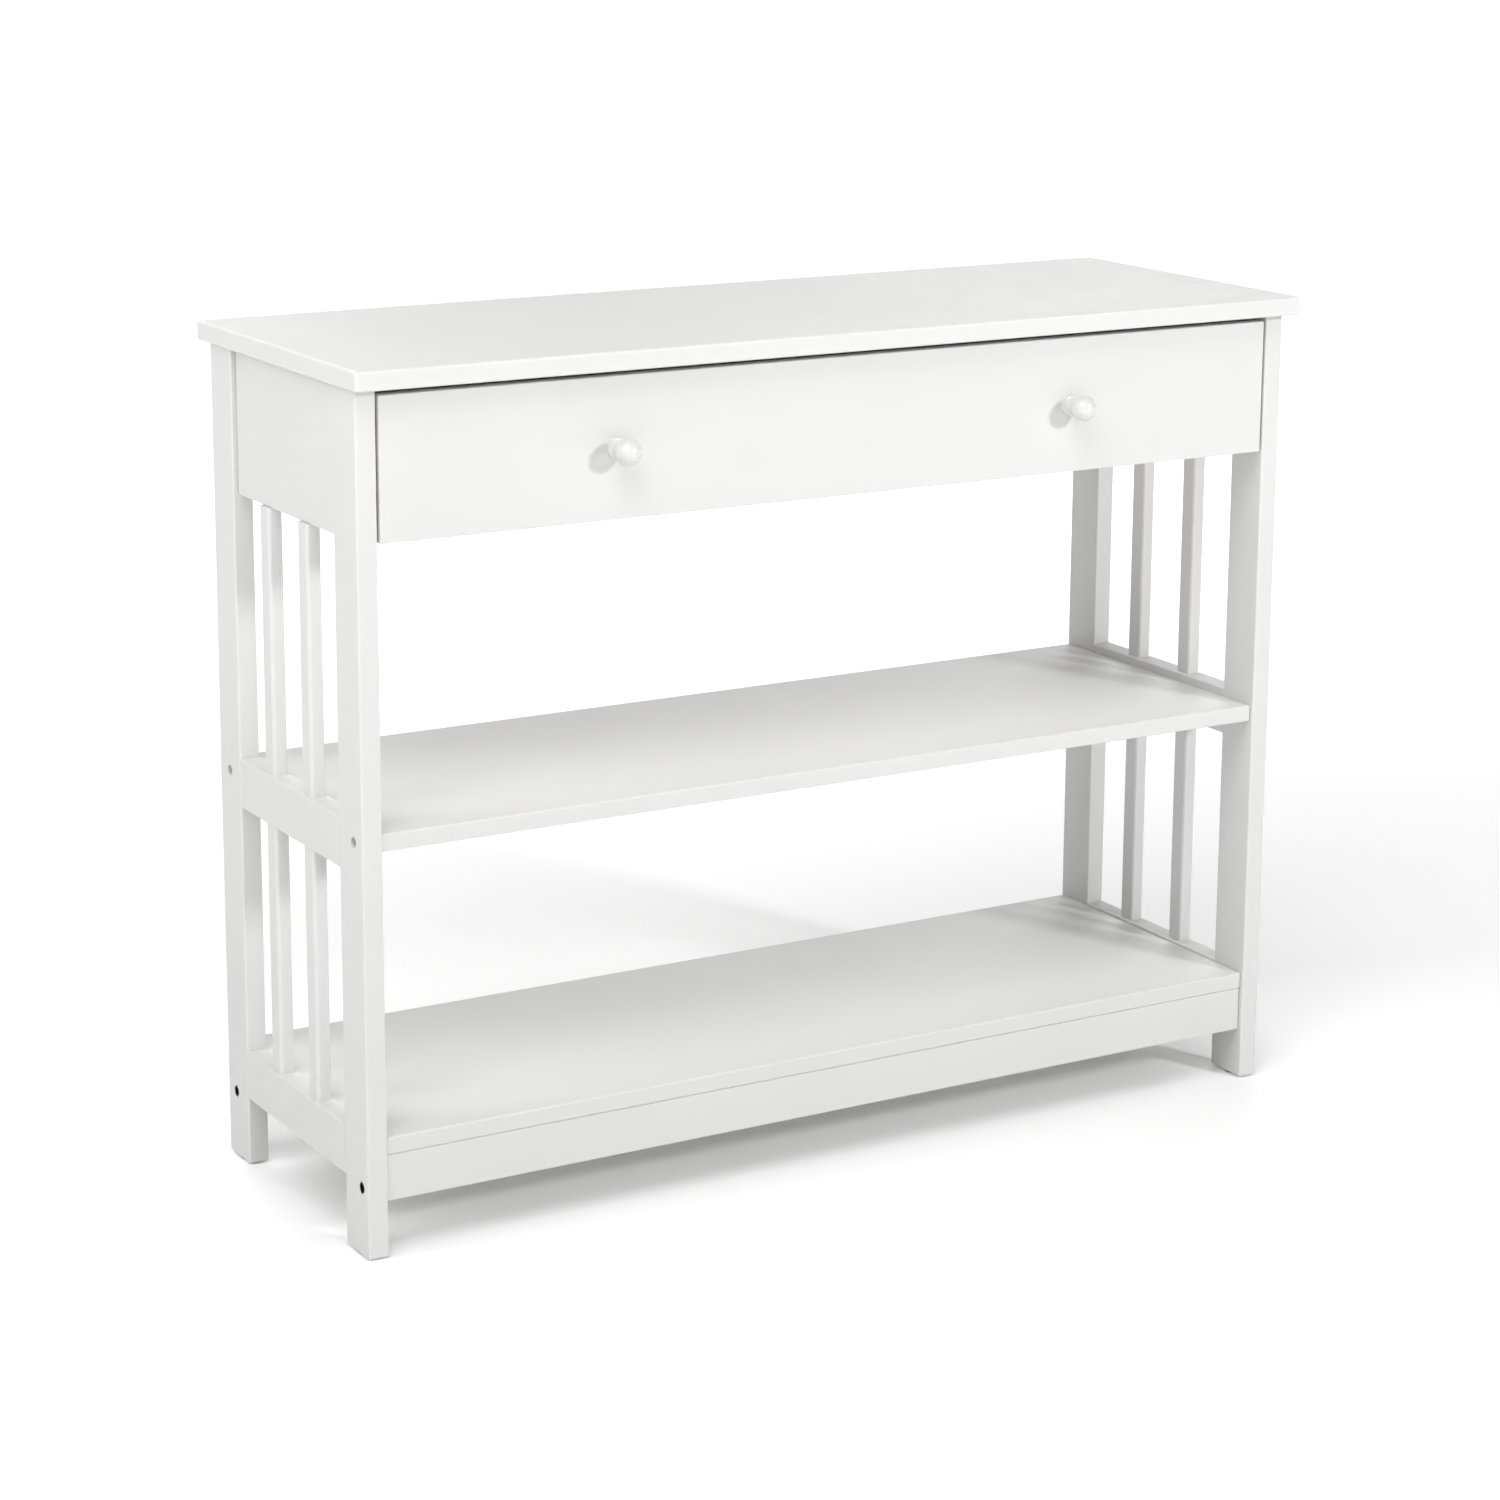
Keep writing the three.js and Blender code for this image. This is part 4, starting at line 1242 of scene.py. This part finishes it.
class CONSOLE_TABLE_OT_stage(bpy.types.Operator):
    """Makes the pale floor, the soft studio light and the camera"""

    bl_idname = "console_table.stage"
    bl_label = "Stage"

    def execute(self, context):
        scene = context.scene
        scene.view_settings.view_transform = "Standard"
        self.floor()
        self.camera(scene)
        for name, setting in SOFT_BOXES.items():
            self.soft_box(scene, name, *setting)
        sky = bpy.data.worlds.new("studio_walls")
        sky.use_nodes = True
        background = sky.node_tree.nodes["Background"]
        background.inputs["Color"].default_value = (1, 1, 1, 1)
        # The walls are seen white, and send the table only a little light.
        seen = add_node(sky.node_tree, "ShaderNodeLightPath").outputs["Is Camera Ray"]
        shine = add_node(
            sky.node_tree,
            "ShaderNodeMapRange",
            {"Value": seen, "To Min": SKY_STRENGTH, "To Max": GLOW_FAR},
        )
        sky.node_tree.links.new(shine.outputs["Result"], background.inputs["Strength"])
        scene.world = sky
        return {"FINISHED"}

    def floor(self):
        bm = bmesh.new()
        bmesh.ops.create_grid(bm, x_segments=FLOOR_CELLS, y_segments=FLOOR_CELLS, size=FLOOR_HALF)
        mesh = bpy.data.meshes.new("paper_floor")
        bm.to_mesh(mesh)
        bm.free()
        mesh.materials.append(finish_for("stage_paper"))
        floor = bpy.data.objects.new("paper_floor", mesh)
        bpy.context.scene.collection.objects.link(floor)

    def camera(self, scene):
        data = bpy.data.cameras.new("camera")
        data.lens = CAMERA_LENS
        data.shift_y = CAMERA_SHIFT
        camera = bpy.data.objects.new("camera", data)
        turn = (
            Matrix.Rotation(-CAMERA_YAW, 3, "Z")
            @ Matrix.Rotation(math.pi / 2 - CAMERA_PITCH, 3, "X")
            @ Matrix.Rotation(CAMERA_ROLL, 3, "Z")
        )
        camera.rotation_euler = turn.to_euler()
        camera.location = CAMERA_PLACE
        scene.collection.objects.link(camera)
        scene.camera = camera

    def soft_box(self, scene, name, azimuth, elevation, size, power):
        data = bpy.data.lights.new(name, "AREA")
        data.shape = "DISK"
        data.size = size
        data.energy = power
        lamp = bpy.data.objects.new(name, data)
        away = direction(azimuth, elevation)
        lamp.location = STAGE_MIDDLE + away * SOFT_BOX_DISTANCE
        lamp.rotation_euler = away.to_track_quat("Z", "Y").to_euler()
        scene.collection.objects.link(lamp)


# ---- Panel and making ------------------------------------------------------------------------

OPERATORS = (
    CONSOLE_TABLE_OT_stage,
    CONSOLE_TABLE_OT_tabletop,
    CONSOLE_TABLE_OT_legs,
    CONSOLE_TABLE_OT_end_boards,
    CONSOLE_TABLE_OT_shelves,
    CONSOLE_TABLE_OT_barrel_nuts,
    CONSOLE_TABLE_OT_bolts,
    CONSOLE_TABLE_OT_glides,
    CONSOLE_TABLE_OT_brackets,
    CONSOLE_TABLE_OT_drawer,
    CONSOLE_TABLE_OT_knobs,
    CONSOLE_TABLE_OT_slides,
)


class CONSOLE_TABLE_PT_pieces(bpy.types.Panel):
    """Lists the table's sizes, colours and pieces in the sidebar"""

    bl_idname = "CONSOLE_TABLE_PT_pieces"
    bl_label = "Console Table"
    bl_space_type = "VIEW_3D"
    bl_region_type = "UI"
    bl_category = "Console Table"

    def draw(self, context):
        for group in (context.scene.table_sizes, context.scene.table_colours):
            column = self.layout.column(align=True)
            for name in group.bl_rna.properties.keys():
                if name not in ("rna_type", "name"):
                    column.prop(group, name)
        column = self.layout.column(align=True)
        for operator in OPERATORS:
            column.operator(operator.bl_idname)


CLASSES = (TableSizes, TableColours, *OPERATORS, CONSOLE_TABLE_PT_pieces)


def register():
    for kind in CLASSES:
        bpy.utils.register_class(kind)
    bpy.types.Scene.table_sizes = PointerProperty(type=TableSizes)
    bpy.types.Scene.table_colours = PointerProperty(type=TableColours)


def unregister():
    del bpy.types.Scene.table_colours
    del bpy.types.Scene.table_sizes
    for kind in reversed(CLASSES):
        bpy.utils.unregister_class(kind)


def main():
    """Makes every piece."""
    register()
    for operator in OPERATORS:
        group, name = operator.bl_idname.split(".")
        getattr(getattr(bpy.ops, group), name)()


if __name__ == "__main__":
    main()
